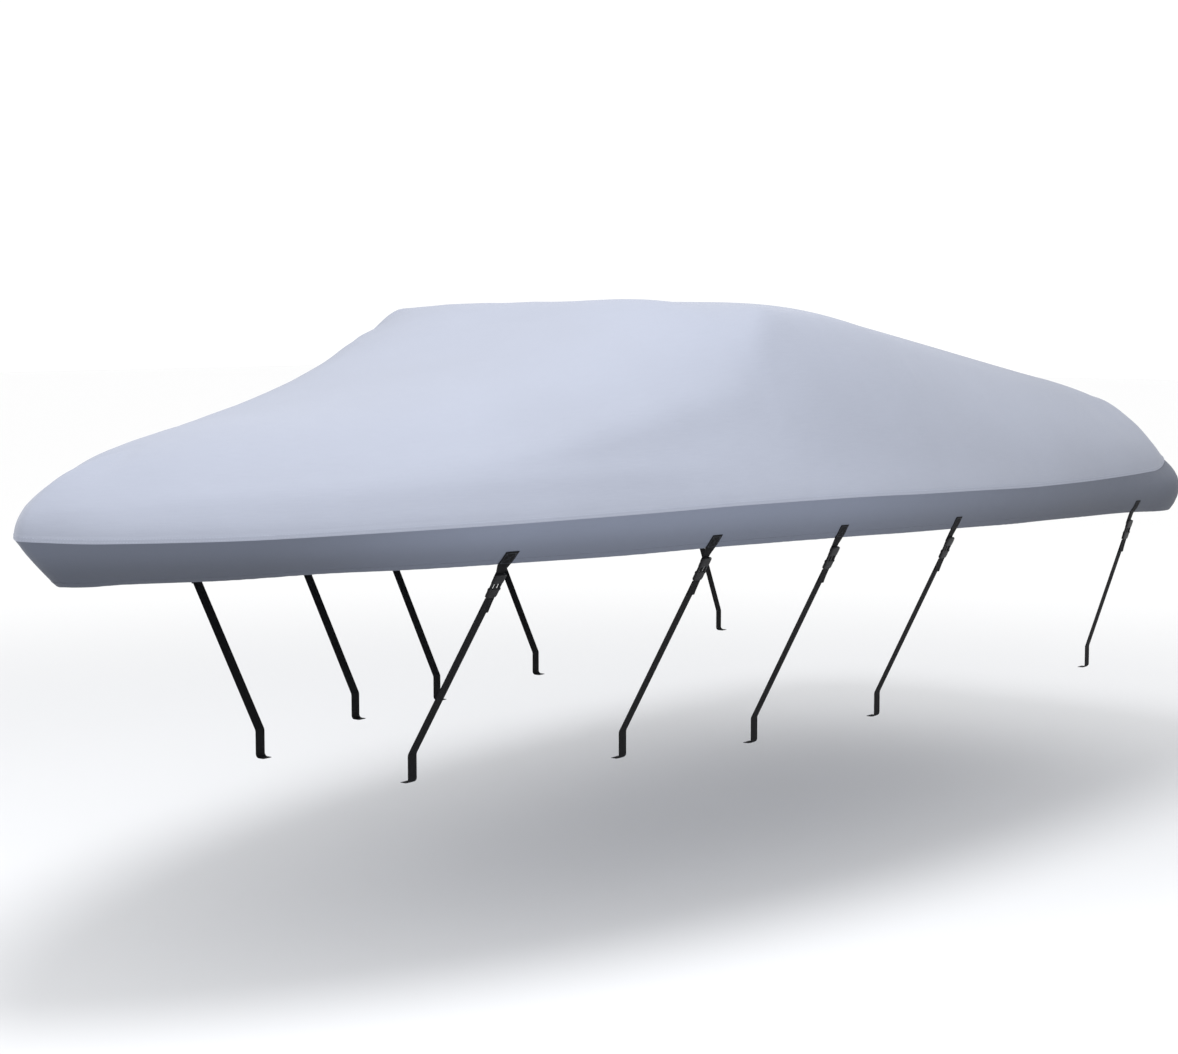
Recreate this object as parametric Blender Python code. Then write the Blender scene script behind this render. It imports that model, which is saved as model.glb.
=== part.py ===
"""Fitted storage cover for a trailered runabout, in the shape it takes over the boat.

A light one-piece top cloth is drawn from the bow over the windshield to the transom.  Below the
gunwale seam a darker skirt panel tucks in under the rub rail.  Five tie-down straps a side run
from the skirt to the trailer's rails, each with a sewn tab above its buckle.

Metres, +Z up, bow towards -X, port side towards -Y.  The origin lies on the inside of the top
cloth, on the centreline, where the windshield's top edge carries it.
"""

import math

import bmesh
import bpy
import numpy as np
from mathutils import Matrix

# ---------------------------------------------------------------- driving sizes
CLOTH_THICKNESS = 0.003
WEBBING_WIDTH = 0.038
WEBBING_THICKNESS = 0.002
GAP = 0.0003  # left between neighbouring pieces

CREST_X = 2.40  # windshield's top edge, aft of the bow tip
CREST_UP = 0.641  # top cloth there, above the gunwale seam amidships

# Rib steps: how finely each rib is drawn between hem, seam, knee and spine.
SKIRT_STEPS = 3
FLANK_STEPS = 6
DECK_STEPS = 8
RIB_PITCH = 0.16  # widest spacing of the ribs along the seam
HANDLE = 0.36  # length of a rib curve's handles, as a share of its chord

# One rib of the half cover a row, from the bow's centreline round to the transom's centreline.
# Distances are aft of the bow tip, out from the centreline and up from the seam amidships.  A rib
# climbs from the gunwale seam over the knee, where side turns into top, to the spine.  Angles
# are slopes in degrees: of the cloth leaving the seam, and below and above the knee.
RIB_COLUMNS = (
    "seam_aft", "seam_out", "seam_up", "spine_aft", "spine_up", "knee_in", "knee_up",
    "seam_angle", "flank_angle", "deck_angle", "hem_in", "hem_drop", "skirt_swell",
)
RIBS = (
    # nose and foredeck
    (0.000, 0.000, 0.012, 0.350, 0.224, 0.026, 0.094, 97, 56, 48, 0.165, 0.144, 0.006),
    (0.030, 0.058, 0.010, 0.380, 0.229, 0.029, 0.094, 94, 55, 46, 0.160, 0.142, 0.006),
    (0.120, 0.172, 0.006, 0.450, 0.248, 0.043, 0.096, 86, 50, 44, 0.155, 0.132, 0.006),
    (0.350, 0.370, 0.006, 0.620, 0.282, 0.068, 0.122, 80, 45, 40, 0.145, 0.128, 0.006),
    (0.700, 0.575, 0.012, 0.880, 0.314, 0.085, 0.145, 77, 44, 38, 0.125, 0.120, 0.006),
    (1.100, 0.755, 0.019, 1.180, 0.364, 0.090, 0.185, 76, 48, 40, 0.105, 0.121, 0.004),
    # front face, rising to the windshield
    (1.550, 0.905, 0.026, 1.580, 0.462, 0.110, 0.255, 74, 55, 44, 0.090, 0.127, 0.004),
    (1.900, 0.985, 0.029, 1.900, 0.568, 0.150, 0.330, 72, 58, 54, 0.080, 0.128, 0.004),
    (2.120, 1.028, 0.028, 2.120, 0.635, 0.202, 0.440, 70, 58, 55, 0.073, 0.129, 0.004),
    (2.210, 1.042, 0.027, 2.210, 0.641, 0.238, 0.555, 70, 56, 25, 0.070, 0.129, 0.004),
    (2.300, 1.055, 0.026, 2.300, 0.641, 0.268, 0.618, 71, 50, 4, 0.068, 0.130, 0.004),
    # windshield top and the straight run aft
    (2.500, 1.078, 0.022, 2.500, 0.641, 0.265, 0.602, 71, 44, 9, 0.065, 0.130, 0.004),
    (2.750, 1.098, 0.014, 2.750, 0.635, 0.268, 0.567, 70, 42, 18, 0.062, 0.130, 0.004),
    (3.100, 1.113, 0.004, 3.100, 0.605, 0.278, 0.504, 68, 40, 22, 0.060, 0.130, 0.004),
    (3.600, 1.120, -0.011, 3.600, 0.540, 0.285, 0.418, 66, 38, 26, 0.055, 0.131, 0.005),
    (4.200, 1.110, -0.017, 4.150, 0.432, 0.275, 0.330, 66, 36, 28, 0.050, 0.142, 0.008),
    (4.680, 1.085, -0.016, 4.520, 0.361, 0.255, 0.270, 66, 34, 28, 0.030, 0.162, 0.025),
    # quarter and transom
    (4.960, 1.010, 0.012, 4.680, 0.335, 0.240, 0.244, 66, 34, 30, -0.025, 0.200, 0.050),
    (5.110, 0.860, 0.030, 4.750, 0.325, 0.225, 0.238, 66, 36, 33, -0.030, 0.215, 0.050),
    (5.190, 0.590, 0.035, 4.800, 0.318, 0.215, 0.244, 66, 36, 31, -0.030, 0.220, 0.045),
    (5.220, 0.300, 0.035, 4.840, 0.312, 0.210, 0.244, 66, 36, 31, -0.030, 0.220, 0.045),
    (5.230, 0.000, 0.035, 4.870, 0.307, 0.210, 0.244, 66, 36, 31, -0.030, 0.220, 0.045),
)

# One strap of each side a row: where it leaves the hem, and where it meets the rail's top edge,
# out from the centreline and up from the seam.
STRAP_COLUMNS = ("hem_aft", "rail_out", "rail_up")
STRAPS = (
    (1.146, 0.316, -0.685),
    (1.841, 0.568, -0.692),
    (2.402, 0.690, -0.716),
    (3.073, 0.765, -0.716),
    (4.533, 0.885, -0.715),
)
RAIL_DEPTH = 0.085
RAIL_TUCK = 0.030  # webbing turned in under the rail
RAIL_EDGE_RADIUS = 0.012
TAB_STEPS = 1  # skirt steps that a tab climbs above the hem
TAB_PAST_BUCKLE_EDGE = (-0.006, 0.015)  # where it lies flat, from the buckle's upper edge
TAIL_LENGTH = 0.050  # webbing doubled back below the buckle
FOLD_STEPS = 6

BUCKLE_FROM_HEM = 0.030
BUCKLE_LENGTH = 0.080
BUCKLE_THICKNESS = 0.010
BUCKLE_LIFT = WEBBING_THICKNESS + 2 * GAP  # its back, out from the plane of hem and rail
BUCKLE_BEVEL = 0.0015
BUCKLE_BEVEL_ANGLE = math.radians(60)
# Half of the buckle's outline a row: distance from its upper end, half width.
BUCKLE_OUTLINE_COLUMNS = ("along", "half_width")
BUCKLE_OUTLINE = (
    (0.000, 0.0210),
    (0.005, 0.0240),
    (0.028, 0.0250),
    (0.032, 0.0220),
    (0.048, 0.0220),
    (0.052, 0.0250),
    (0.075, 0.0240),
    (0.080, 0.0210),
)

SHARP_EDGE = math.radians(40)
PLACE_TOLERANCE = 1e-9
UP = np.array([0.0, 0.0, 1.0])
SEAM = SKIRT_STEPS  # the seam's place in a rib's points
SPINE = SKIRT_STEPS + FLANK_STEPS + DECK_STEPS

# base colour, roughness, metallic
FINISHES = {
    "top_cloth": ((0.56, 0.60, 0.70), 0.82, 0.0),
    "skirt_cloth": ((0.16, 0.18, 0.22), 0.85, 0.0),
    "webbing": ((0.012, 0.013, 0.014), 0.75, 0.0),
    "buckle_plastic": ((0.010, 0.010, 0.011), 0.42, 0.0),
}


# ---------------------------------------------------------------- helpers
def unit(vectors):
    """The same vectors at length one."""
    return vectors / np.linalg.norm(vectors, axis=-1, keepdims=True)


def to_part_frame(points):
    """Points measured from the bow tip and the seam, moved to the part's origin."""
    return points - np.array([CREST_X, 0.0, CREST_UP - CLOTH_THICKNESS])


def material(name):
    """A Principled BSDF material with one of the finishes above."""
    if name in bpy.data.materials:
        return bpy.data.materials[name]
    colour, roughness, metallic = FINISHES[name]
    made = bpy.data.materials.new(name)
    made.use_nodes = True
    shader = made.node_tree.nodes["Principled BSDF"]
    shader.inputs["Base Color"].default_value = (*colour, 1.0)
    shader.inputs["Roughness"].default_value = roughness
    shader.inputs["Metallic"].default_value = metallic
    return made


def add_object(name, mesh, finish, parent):
    """Link a mesh as a named object under the cover's empty."""
    made = bpy.data.objects.new(name, mesh)
    if not mesh.materials:
        mesh.materials.append(material(finish))
    bpy.context.scene.collection.objects.link(made)
    made.parent = parent
    return made


def mesh_from(name, points, faces):
    """A closed mesh of points and faces, its faces turned outward and shaded smooth."""
    made = bpy.data.meshes.new(name)
    made.from_pydata(points.tolist(), [], faces)
    turn_outward(made)
    made.shade_smooth()
    made.set_sharp_from_angle(angle=SHARP_EDGE)
    return made


def turn_outward(mesh):
    """Turn a closed mesh's faces outward."""
    work = bmesh.new()
    work.from_mesh(mesh)
    bmesh.ops.recalc_face_normals(work, faces=work.faces)
    work.to_mesh(mesh)
    work.free()


# ---------------------------------------------------------------- ribs
def monotone_slopes(at, values):
    """Slopes of a curve through the rows that never overshoots them (harmonic means)."""
    step = np.diff(at)[:, None]
    slope = np.diff(values, axis=0) / step
    before, after = slope[:-1], slope[1:]
    near = 2 * step[1:] + step[:-1]
    far = step[1:] + 2 * step[:-1]
    same_way = before * after > 0
    safe_before = np.where(same_way, before, 1.0)
    safe_after = np.where(same_way, after, 1.0)
    inner = np.where(same_way, (near + far) / (near / safe_before + far / safe_after), 0.0)
    return np.vstack([slope[:1], inner, slope[-1:]])


def rows_with_mirrors():
    """The rib table, with the neighbouring port row added at bow and transom."""
    rows = np.array(RIBS, float)
    mirrored = rows * np.where(np.array(RIB_COLUMNS) == "seam_out", -1.0, 1.0)
    full = np.vstack([mirrored[1:2], rows, mirrored[-2:-1]])
    reach = np.linalg.norm(np.diff(full[:, :3], axis=0), axis=1)
    at = np.concatenate([[0.0], np.cumsum(reach)]) - reach[0]
    return at, full


def row_at(at, full, slopes, place):
    """The rib sizes at one place along the seam, by cubic Hermite interpolation."""
    k = int(np.clip(np.searchsorted(at, place, side="right") - 1, 1, len(at) - 3))
    span = at[k + 1] - at[k]
    u = (place - at[k]) / span
    return (
        (2 * u**3 - 3 * u**2 + 1) * full[k]
        + (u**3 - 2 * u**2 + u) * span * slopes[k]
        + (3 * u**2 - 2 * u**3) * full[k + 1]
        + (u**3 - u**2) * span * slopes[k + 1]
    )


def bezier(start, leave, arrive, end, steps):
    """Points of one cubic curve, its start left out."""
    u = np.linspace(0.0, 1.0, steps + 1)[1:, None]
    rest = 1.0 - u
    return rest**3 * start + 3 * rest**2 * u * leave + 3 * rest * u**2 * arrive + u**3 * end


def slope_direction(degrees):
    """Unit vector in a rib's plane: in from the seam, and up."""
    angle = math.radians(degrees)
    return np.array([math.cos(angle), math.sin(angle)])


def rib(row):
    """One rib of the starboard half, hem first and spine last, from its row of sizes."""
    size = dict(zip(RIB_COLUMNS, row))
    seam_plan = np.array([size["seam_aft"], size["seam_out"]])
    spine_plan = np.array([size["spine_aft"], 0.0])
    width = float(np.linalg.norm(spine_plan - seam_plan))
    inward = (spine_plan - seam_plan) / width

    seam = np.array([0.0, size["seam_up"]])
    knee = np.array([size["knee_in"], size["knee_up"]])
    spine = np.array([width, size["spine_up"]])
    hem = np.array([size["hem_in"], size["seam_up"] - size["hem_drop"]])

    share = np.linspace(0.0, 1.0, SKIRT_STEPS + 1)[:, None]
    outward = unit(np.array([hem[1] - seam[1], seam[0] - hem[0]]))
    skirt = hem + (seam - hem) * share + outward * size["skirt_swell"] * 4 * share * (1 - share)

    hold = HANDLE * np.linalg.norm(knee - seam)
    leave = seam + hold * slope_direction(size["seam_angle"])
    arrive = knee - hold * slope_direction(size["flank_angle"])
    flank = bezier(seam, leave, arrive, knee, FLANK_STEPS)

    hold = HANDLE * np.linalg.norm(spine - knee)
    leave = knee + hold * slope_direction(size["deck_angle"])
    arrive = spine - hold * slope_direction(0.0)
    deck = bezier(knee, leave, arrive, spine, DECK_STEPS)

    profile = np.vstack([skirt, flank, deck])
    plan = seam_plan + profile[:, :1] * inward
    return np.column_stack([plan, profile[:, 1]])


def hem_place(at, full, slopes, hem_aft):
    """Where along the seam a rib's hem lies this far aft, by halving the run from bow to transom."""
    low, high = 0.0, at[-2]
    while high - low > PLACE_TOLERANCE:
        middle = (low + high) / 2
        if rib(row_at(at, full, slopes, middle))[0, 0] < hem_aft:
            low = middle
        else:
            high = middle
    return (low + high) / 2


def half_ribs():
    """All ribs of the starboard half, with one under each strap, and those ribs' numbers."""
    at, full = rows_with_mirrors()
    slopes = monotone_slopes(at, full)
    places = [0.0]
    for start, end in zip(at[1:-2], at[2:-1]):
        parts = math.ceil((end - start) / RIB_PITCH)
        places += list(np.linspace(start, end, parts + 1)[1:])
    strap_places = [hem_place(at, full, slopes, strap[0]) for strap in STRAPS]
    clear = 2 * WEBBING_WIDTH
    places = [p for p in places if min(abs(p - s) for s in strap_places) > clear]
    places = sorted(places + strap_places)
    ribs = np.array([rib(row_at(at, full, slopes, place)) for place in places])
    return ribs, [places.index(place) for place in strap_places]


# ---------------------------------------------------------------- cloth shell
def whole_loop(half):
    """Port ribs from bow to transom, then starboard ribs back to the bow."""
    port = half * np.array([1.0, -1.0, 1.0])
    return np.concatenate([port, half[-2:0:-1]])


def shell(loop):
    """Outward normals, their mitred thickness share, and the way up each rib, at every point."""
    along = np.roll(loop, -1, axis=0) - np.roll(loop, 1, axis=0)
    middle = len(loop) // 2
    for end_rib in (0, middle):
        along[end_rib, SPINE] = along[end_rib, SPINE - 1]

    steps = unit(np.diff(loop, axis=1))
    rising = np.concatenate([steps[:, :1], steps[:, :-1] + steps[:, 1:], steps[:, -1:]], axis=1)
    mitre = np.linalg.norm(rising, axis=-1) / 2
    mitre[:, 0] = mitre[:, -1] = 1.0

    normals = unit(np.cross(along, rising))
    normals[:, SPINE, 1] = 0.0
    normals[:, SPINE] = unit(normals[:, SPINE])
    uphill = unit(np.cross(normals, along))
    return normals, mitre[..., None], uphill


def inside_of(loop):
    """The cloth's inner face, one thickness in from the outer one."""
    normals, mitre, _ = shell(loop)
    return loop - normals * CLOTH_THICKNESS / mitre


def grid_faces(ribs, points, number):
    """Quads between neighbouring ribs of a closed loop, their corners numbered by a function."""
    faces = []
    for k in range(ribs):
        after = (k + 1) % ribs
        for j in range(points - 1):
            faces.append([number(k, j), number(after, j), number(after, j + 1), number(k, j + 1)])
    return faces


def edge_faces(ribs, j, outer, inner):
    """Quads that close the cloth's edge between its outer and inner faces at one height."""
    return [
        [outer(k, j), outer((k + 1) % ribs, j), inner((k + 1) % ribs, j), inner(k, j)]
        for k in range(ribs)
    ]


def skirt_mesh(loop):
    """The skirt panel: a ring of cloth from the hem to half a gap below the seam."""
    uphill = shell(loop)[2][:, SEAM]
    layers = []
    for layer in (loop, inside_of(loop)):
        ring = layer[:, : SEAM + 1].copy()
        ring[:, SEAM] -= uphill * GAP / 2
        layers.append(ring.reshape(-1, 3))
    ribs, points = len(loop), SEAM + 1

    def outer(k, j):
        return k * points + j

    def inner(k, j):
        return len(layers[0]) + outer(k, j)

    faces = grid_faces(ribs, points, outer) + grid_faces(ribs, points, inner)
    faces += edge_faces(ribs, 0, outer, inner) + edge_faces(ribs, SEAM, outer, inner)
    return mesh_from("skirt_panel", to_part_frame(np.concatenate(layers)), faces)


def top_mesh(loop):
    """The top cloth: both halves joined along the spine, from half a gap above the seam."""
    uphill = shell(loop)[2][:, SEAM]
    ribs, points = len(loop), SPINE - SEAM
    middle = ribs // 2
    layers = []
    for layer in (loop, inside_of(loop)):
        side = layer[:, SEAM:SPINE].copy()
        side[:, 0] += uphill * GAP / 2
        layers.append(np.concatenate([side.reshape(-1, 3), layer[: middle + 1, SPINE]]))

    def outer(k, j):
        if j < points:
            return k * points + j
        return ribs * points + min(k, ribs - k)

    def inner(k, j):
        return len(layers[0]) + outer(k, j)

    faces = grid_faces(ribs, points + 1, outer) + grid_faces(ribs, points + 1, inner)
    faces += edge_faces(ribs, 0, outer, inner)
    return mesh_from("top_cloth", to_part_frame(np.concatenate(layers)), faces)


# ---------------------------------------------------------------- webbing and buckles
def strap_frame(rib_points, strap, side):
    """Where a strap leaves the hem and meets the rail, its way down and across, and its outward way."""
    size = dict(zip(STRAP_COLUMNS, strap))
    hem = rib_points[0] * np.array([1.0, side, 1.0])
    rail = np.array([size["hem_aft"], side * size["rail_out"], size["rail_up"]])
    down = unit(rail - hem)
    across = unit(np.cross(down, UP)) * -side
    outward = np.cross(across, down) * side
    return hem, rail, down, across, outward


def edge_and_middle(across):
    """Steps from a strip's middle to its one edge, its middle and its other edge."""
    return [across * share for share in (-WEBBING_WIDTH / 2, 0.0, WEBBING_WIDTH / 2)]


def mitred_normals(path, across, side):
    """Outward ways along a path, each lengthened so that a strip round its bends stays even."""
    steps = unit(np.diff(path, axis=0))
    way = np.vstack([steps[:1], steps[:-1] + steps[1:], steps[-1:]])
    share = np.linalg.norm(way, axis=1) / 2
    share[0] = share[-1] = 1.0
    return np.cross(across, unit(way)) * side / share[:, None]


def strip_mesh(name, rows, normals):
    """Webbing on three rows of points, edge, middle and edge, one thickness outward from them."""
    back = np.stack(rows, axis=1)
    front = back + normals[:, None] * WEBBING_THICKNESS
    steps, wide = back.shape[:2]

    def number(layer, i, j):
        return (layer * steps + i) * wide + j

    faces = []
    for i in range(steps - 1):
        for j in range(wide - 1):
            for layer in (0, 1):
                here, after = number(layer, i, j), number(layer, i + 1, j)
                faces.append([here, here + 1, after + 1, after])
        for j in (0, wide - 1):
            edge = [number(0, i, j), number(0, i + 1, j), number(1, i + 1, j), number(1, i, j)]
            faces.append(edge)
    for i in (0, steps - 1):
        for j in range(wide - 1):
            end = [number(0, i, j), number(0, i, j + 1), number(1, i, j + 1), number(1, i, j)]
            faces.append(end)
    corners = np.concatenate([back.reshape(-1, 3), front.reshape(-1, 3)])
    return mesh_from(name, to_part_frame(corners), faces)


def tab_mesh(name, ribs, number, strap, side):
    """The sewn tab: webbing down the skirt's face, past the hem and in behind the buckle."""
    hem, _, down, across, _ = strap_frame(ribs[number], strap, side)
    own = ribs[number]
    rows = []
    for step in edge_and_middle(across):
        neighbour = ribs[number + (1 if step[0] > 0 else -1)]
        share = abs(step[0]) / abs(neighbour[0, 0] - own[0, 0])
        on_skirt = (own + (neighbour - own) * share)[TAB_STEPS::-1] * np.array([1.0, side, 1.0])
        free = [hem + step + down * (BUCKLE_FROM_HEM + past) for past in TAB_PAST_BUCKLE_EDGE]
        rows.append(np.vstack([on_skirt, free]))
    normals = mitred_normals(rows[1], across, side)
    return strip_mesh(name, np.array(rows) + normals * GAP, normals)


def strap_mesh(name, ribs, number, strap, side):
    """The strap: a doubled tail at the buckle, the taut run, and the turn round the rail."""
    hem, rail, down, across, outward = strap_frame(ribs[number], strap, side)
    fold = (WEBBING_THICKNESS + GAP) / 2
    buckle_middle = hem + outward * (BUCKLE_LIFT + BUCKLE_THICKNESS / 2)
    below_buckle = BUCKLE_FROM_HEM + BUCKLE_LENGTH + GAP + WEBBING_THICKNESS / 2
    centre = buckle_middle + down * (below_buckle + fold)
    turn = [
        centre + (outward * math.cos(angle) - down * math.sin(angle)) * fold
        for angle in np.linspace(0.0, math.pi, FOLD_STEPS + 1)
    ]
    inward = unit(np.array([0.0, -side, 0.0]))
    foot = rail - UP * RAIL_DEPTH
    path = [
        centre + outward * fold + down * TAIL_LENGTH,
        *turn,
        rail - down * RAIL_EDGE_RADIUS,
        rail - UP * RAIL_EDGE_RADIUS,
        foot + UP * RAIL_EDGE_RADIUS,
        foot + inward * RAIL_EDGE_RADIUS,
        foot + inward * RAIL_TUCK,
    ]
    normals = mitred_normals(np.array(path), across, side)
    back = path - normals * WEBBING_THICKNESS / 2
    return strip_mesh(name, [back + step for step in edge_and_middle(across)], normals)


def buckle_mesh():
    """A side-release buckle: a bevelled plate with a waist where its prongs are squeezed."""
    outline = [(along, half) for along, half in BUCKLE_OUTLINE]
    outline += [(along, -half) for along, half in reversed(BUCKLE_OUTLINE)]
    work = bmesh.new()
    corners = [work.verts.new((along, half, 0.0)) for along, half in outline]
    plate = work.faces.new(corners)
    grown = bmesh.ops.extrude_face_region(work, geom=[plate])
    raised = [v for v in grown["geom"] if isinstance(v, bmesh.types.BMVert)]
    bmesh.ops.translate(work, verts=raised, vec=(0.0, 0.0, BUCKLE_THICKNESS))
    bmesh.ops.recalc_face_normals(work, faces=work.faces)
    made = bpy.data.meshes.new("buckle")
    work.to_mesh(made)
    work.free()
    made.shade_smooth()
    made.set_sharp_from_angle(angle=SHARP_EDGE)
    return made


def add_buckle(name, mesh, ribs, number, strap, side, parent):
    """Seat one buckle on the ends of its tab and strap."""
    hem, _, down, _, outward = strap_frame(ribs[number], strap, side)
    made = add_object(name, mesh, "buckle_plastic", parent)
    turn = Matrix(np.column_stack([down, np.cross(outward, down), outward]).tolist())
    made.location = to_part_frame(hem + down * BUCKLE_FROM_HEM + outward * BUCKLE_LIFT).tolist()
    made.rotation_euler = turn.to_euler()
    bevel = made.modifiers.new("edge", "BEVEL")
    bevel.width = BUCKLE_BEVEL
    bevel.segments = 1
    bevel.limit_method = "ANGLE"
    bevel.angle_limit = BUCKLE_BEVEL_ANGLE
    return made


# ---------------------------------------------------------------- whole cover
def clear_scene():
    """Remove whatever the scene holds."""
    for old in list(bpy.data.objects):
        bpy.data.objects.remove(old, do_unlink=True)


def build():
    """Make every sub-part as its own object."""
    clear_scene()
    cover = bpy.data.objects.new("boat_cover", None)
    bpy.context.scene.collection.objects.link(cover)
    ribs, strap_ribs = half_ribs()
    loop = whole_loop(ribs)
    add_object("top_cloth", top_mesh(loop), "top_cloth", cover)
    add_object("skirt_panel", skirt_mesh(loop), "skirt_cloth", cover)
    buckle = buckle_mesh()
    for side_name, side in (("port", -1.0), ("starboard", 1.0)):
        for place, (number, strap) in enumerate(zip(strap_ribs, STRAPS), start=1):
            label = f"{side_name}_{place}"
            tab = tab_mesh(f"tab_{label}", ribs, number, strap, side)
            add_object(f"tab_{label}", tab, "webbing", cover)
            add_buckle(f"buckle_{label}", buckle, ribs, number, strap, side, cover)
            webbing = strap_mesh(f"strap_{label}", ribs, number, strap, side)
            add_object(f"strap_{label}", webbing, "webbing", cover)


build()
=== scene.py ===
"""Dresses a fitted boat cover: taut two-tone cloth, sewn seams, webbing straps and buckles.

The top cloth is drawn from the bow over the windshield to the transom.  A darker skirt panel
tucks in below the gunwale seam, and five straps a side hold it down.  Metres, +Z up, bow
towards -X and port towards -Y, in the same frame as the solids.
"""

import math
from functools import partial

import bpy
import numpy as np
from bpy.props import FloatProperty, FloatVectorProperty, PointerProperty
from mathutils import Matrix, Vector


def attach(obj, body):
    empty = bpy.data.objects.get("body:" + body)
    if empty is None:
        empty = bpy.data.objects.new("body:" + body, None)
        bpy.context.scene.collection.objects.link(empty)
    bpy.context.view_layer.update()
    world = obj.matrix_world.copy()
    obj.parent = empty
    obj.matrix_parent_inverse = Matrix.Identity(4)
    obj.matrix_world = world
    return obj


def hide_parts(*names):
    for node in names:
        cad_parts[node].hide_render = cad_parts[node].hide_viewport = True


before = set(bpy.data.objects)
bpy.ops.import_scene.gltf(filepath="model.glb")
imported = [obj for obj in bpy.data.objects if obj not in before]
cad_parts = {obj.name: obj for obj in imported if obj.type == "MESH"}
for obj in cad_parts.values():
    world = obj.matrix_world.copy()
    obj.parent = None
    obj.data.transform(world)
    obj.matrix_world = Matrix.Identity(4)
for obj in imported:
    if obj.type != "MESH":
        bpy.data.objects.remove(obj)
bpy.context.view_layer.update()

bl_info = {
    "name": "Fitted boat cover",
    "version": (1, 0, 0),
    "blender": (4, 5, 0),
    "location": "View3D > Sidebar > Boat cover",
    "description": "Makes a taut two-tone boat cover with its seams, straps and buckles",
    "category": "Object",
}

GAP = 0.0003  # left between neighbouring pieces

# ---- shape of the cover
CREST_AFT = 2.40  # windshield's top edge, aft of the bow tip
CREST_UP = 0.641  # top cloth there, above the gunwale seam amidships
SOLID_CLOTH = 0.003
ORIGIN = np.array([CREST_AFT, 0.0, CREST_UP - SOLID_CLOTH])
HANDLE = 0.36  # length of a rib curve's handles, as a share of its chord

# One rib of the half cover a row, from the bow's centreline round to the transom's centreline.
# Distances are aft of the bow tip, out from the centreline and up from the seam amidships.  A rib
# climbs from the gunwale seam over the knee, where side turns into top, to the spine.  Angles
# are slopes in degrees: of the cloth leaving the seam, and below and above the knee.
RIB_COLUMNS = (
    "seam_aft", "seam_out", "seam_up", "spine_aft", "spine_up", "knee_in", "knee_up",
    "seam_angle", "flank_angle", "deck_angle", "hem_in", "hem_drop", "skirt_swell",
)
RIBS = (
    # nose and foredeck
    (0.000, 0.000, 0.012, 0.350, 0.224, 0.026, 0.094, 97, 56, 48, 0.165, 0.144, 0.006),
    (0.030, 0.058, 0.010, 0.380, 0.229, 0.029, 0.094, 94, 55, 46, 0.160, 0.142, 0.006),
    (0.120, 0.172, 0.006, 0.450, 0.248, 0.043, 0.096, 86, 50, 44, 0.155, 0.132, 0.006),
    (0.350, 0.370, 0.006, 0.620, 0.282, 0.068, 0.122, 80, 45, 40, 0.145, 0.128, 0.006),
    (0.700, 0.575, 0.012, 0.880, 0.314, 0.085, 0.145, 77, 44, 38, 0.125, 0.120, 0.006),
    (1.100, 0.755, 0.019, 1.180, 0.364, 0.090, 0.185, 76, 48, 40, 0.105, 0.121, 0.004),
    # front face, rising to the windshield
    (1.550, 0.905, 0.026, 1.580, 0.462, 0.110, 0.255, 74, 55, 44, 0.090, 0.127, 0.004),
    (1.900, 0.985, 0.029, 1.900, 0.568, 0.150, 0.330, 72, 58, 54, 0.080, 0.128, 0.004),
    (2.120, 1.028, 0.028, 2.120, 0.635, 0.202, 0.440, 70, 58, 55, 0.073, 0.129, 0.004),
    (2.210, 1.042, 0.027, 2.210, 0.641, 0.238, 0.555, 70, 56, 25, 0.070, 0.129, 0.004),
    (2.300, 1.055, 0.026, 2.300, 0.641, 0.268, 0.618, 71, 50, 4, 0.068, 0.130, 0.004),
    # windshield top and the straight run aft
    (2.500, 1.078, 0.022, 2.500, 0.641, 0.265, 0.602, 71, 44, 9, 0.065, 0.130, 0.004),
    (2.750, 1.098, 0.014, 2.750, 0.635, 0.268, 0.567, 70, 42, 18, 0.062, 0.130, 0.004),
    (3.100, 1.113, 0.004, 3.100, 0.605, 0.278, 0.504, 68, 40, 22, 0.060, 0.130, 0.004),
    (3.600, 1.120, -0.011, 3.600, 0.540, 0.285, 0.418, 66, 38, 26, 0.055, 0.131, 0.005),
    (4.200, 1.110, -0.017, 4.150, 0.432, 0.275, 0.330, 66, 36, 28, 0.050, 0.142, 0.008),
    (4.680, 1.085, -0.016, 4.520, 0.361, 0.255, 0.270, 66, 34, 28, 0.030, 0.162, 0.025),
    # quarter and transom
    (4.960, 1.010, 0.012, 4.680, 0.335, 0.240, 0.244, 66, 34, 30, -0.025, 0.200, 0.050),
    (5.110, 0.860, 0.030, 4.750, 0.325, 0.225, 0.238, 66, 36, 33, -0.030, 0.215, 0.050),
    (5.190, 0.590, 0.035, 4.800, 0.318, 0.215, 0.244, 66, 36, 31, -0.030, 0.220, 0.045),
    (5.220, 0.300, 0.035, 4.840, 0.312, 0.210, 0.244, 66, 36, 31, -0.030, 0.220, 0.045),
    (5.230, 0.000, 0.035, 4.870, 0.307, 0.210, 0.244, 66, 36, 31, -0.030, 0.220, 0.045),
)

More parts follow.
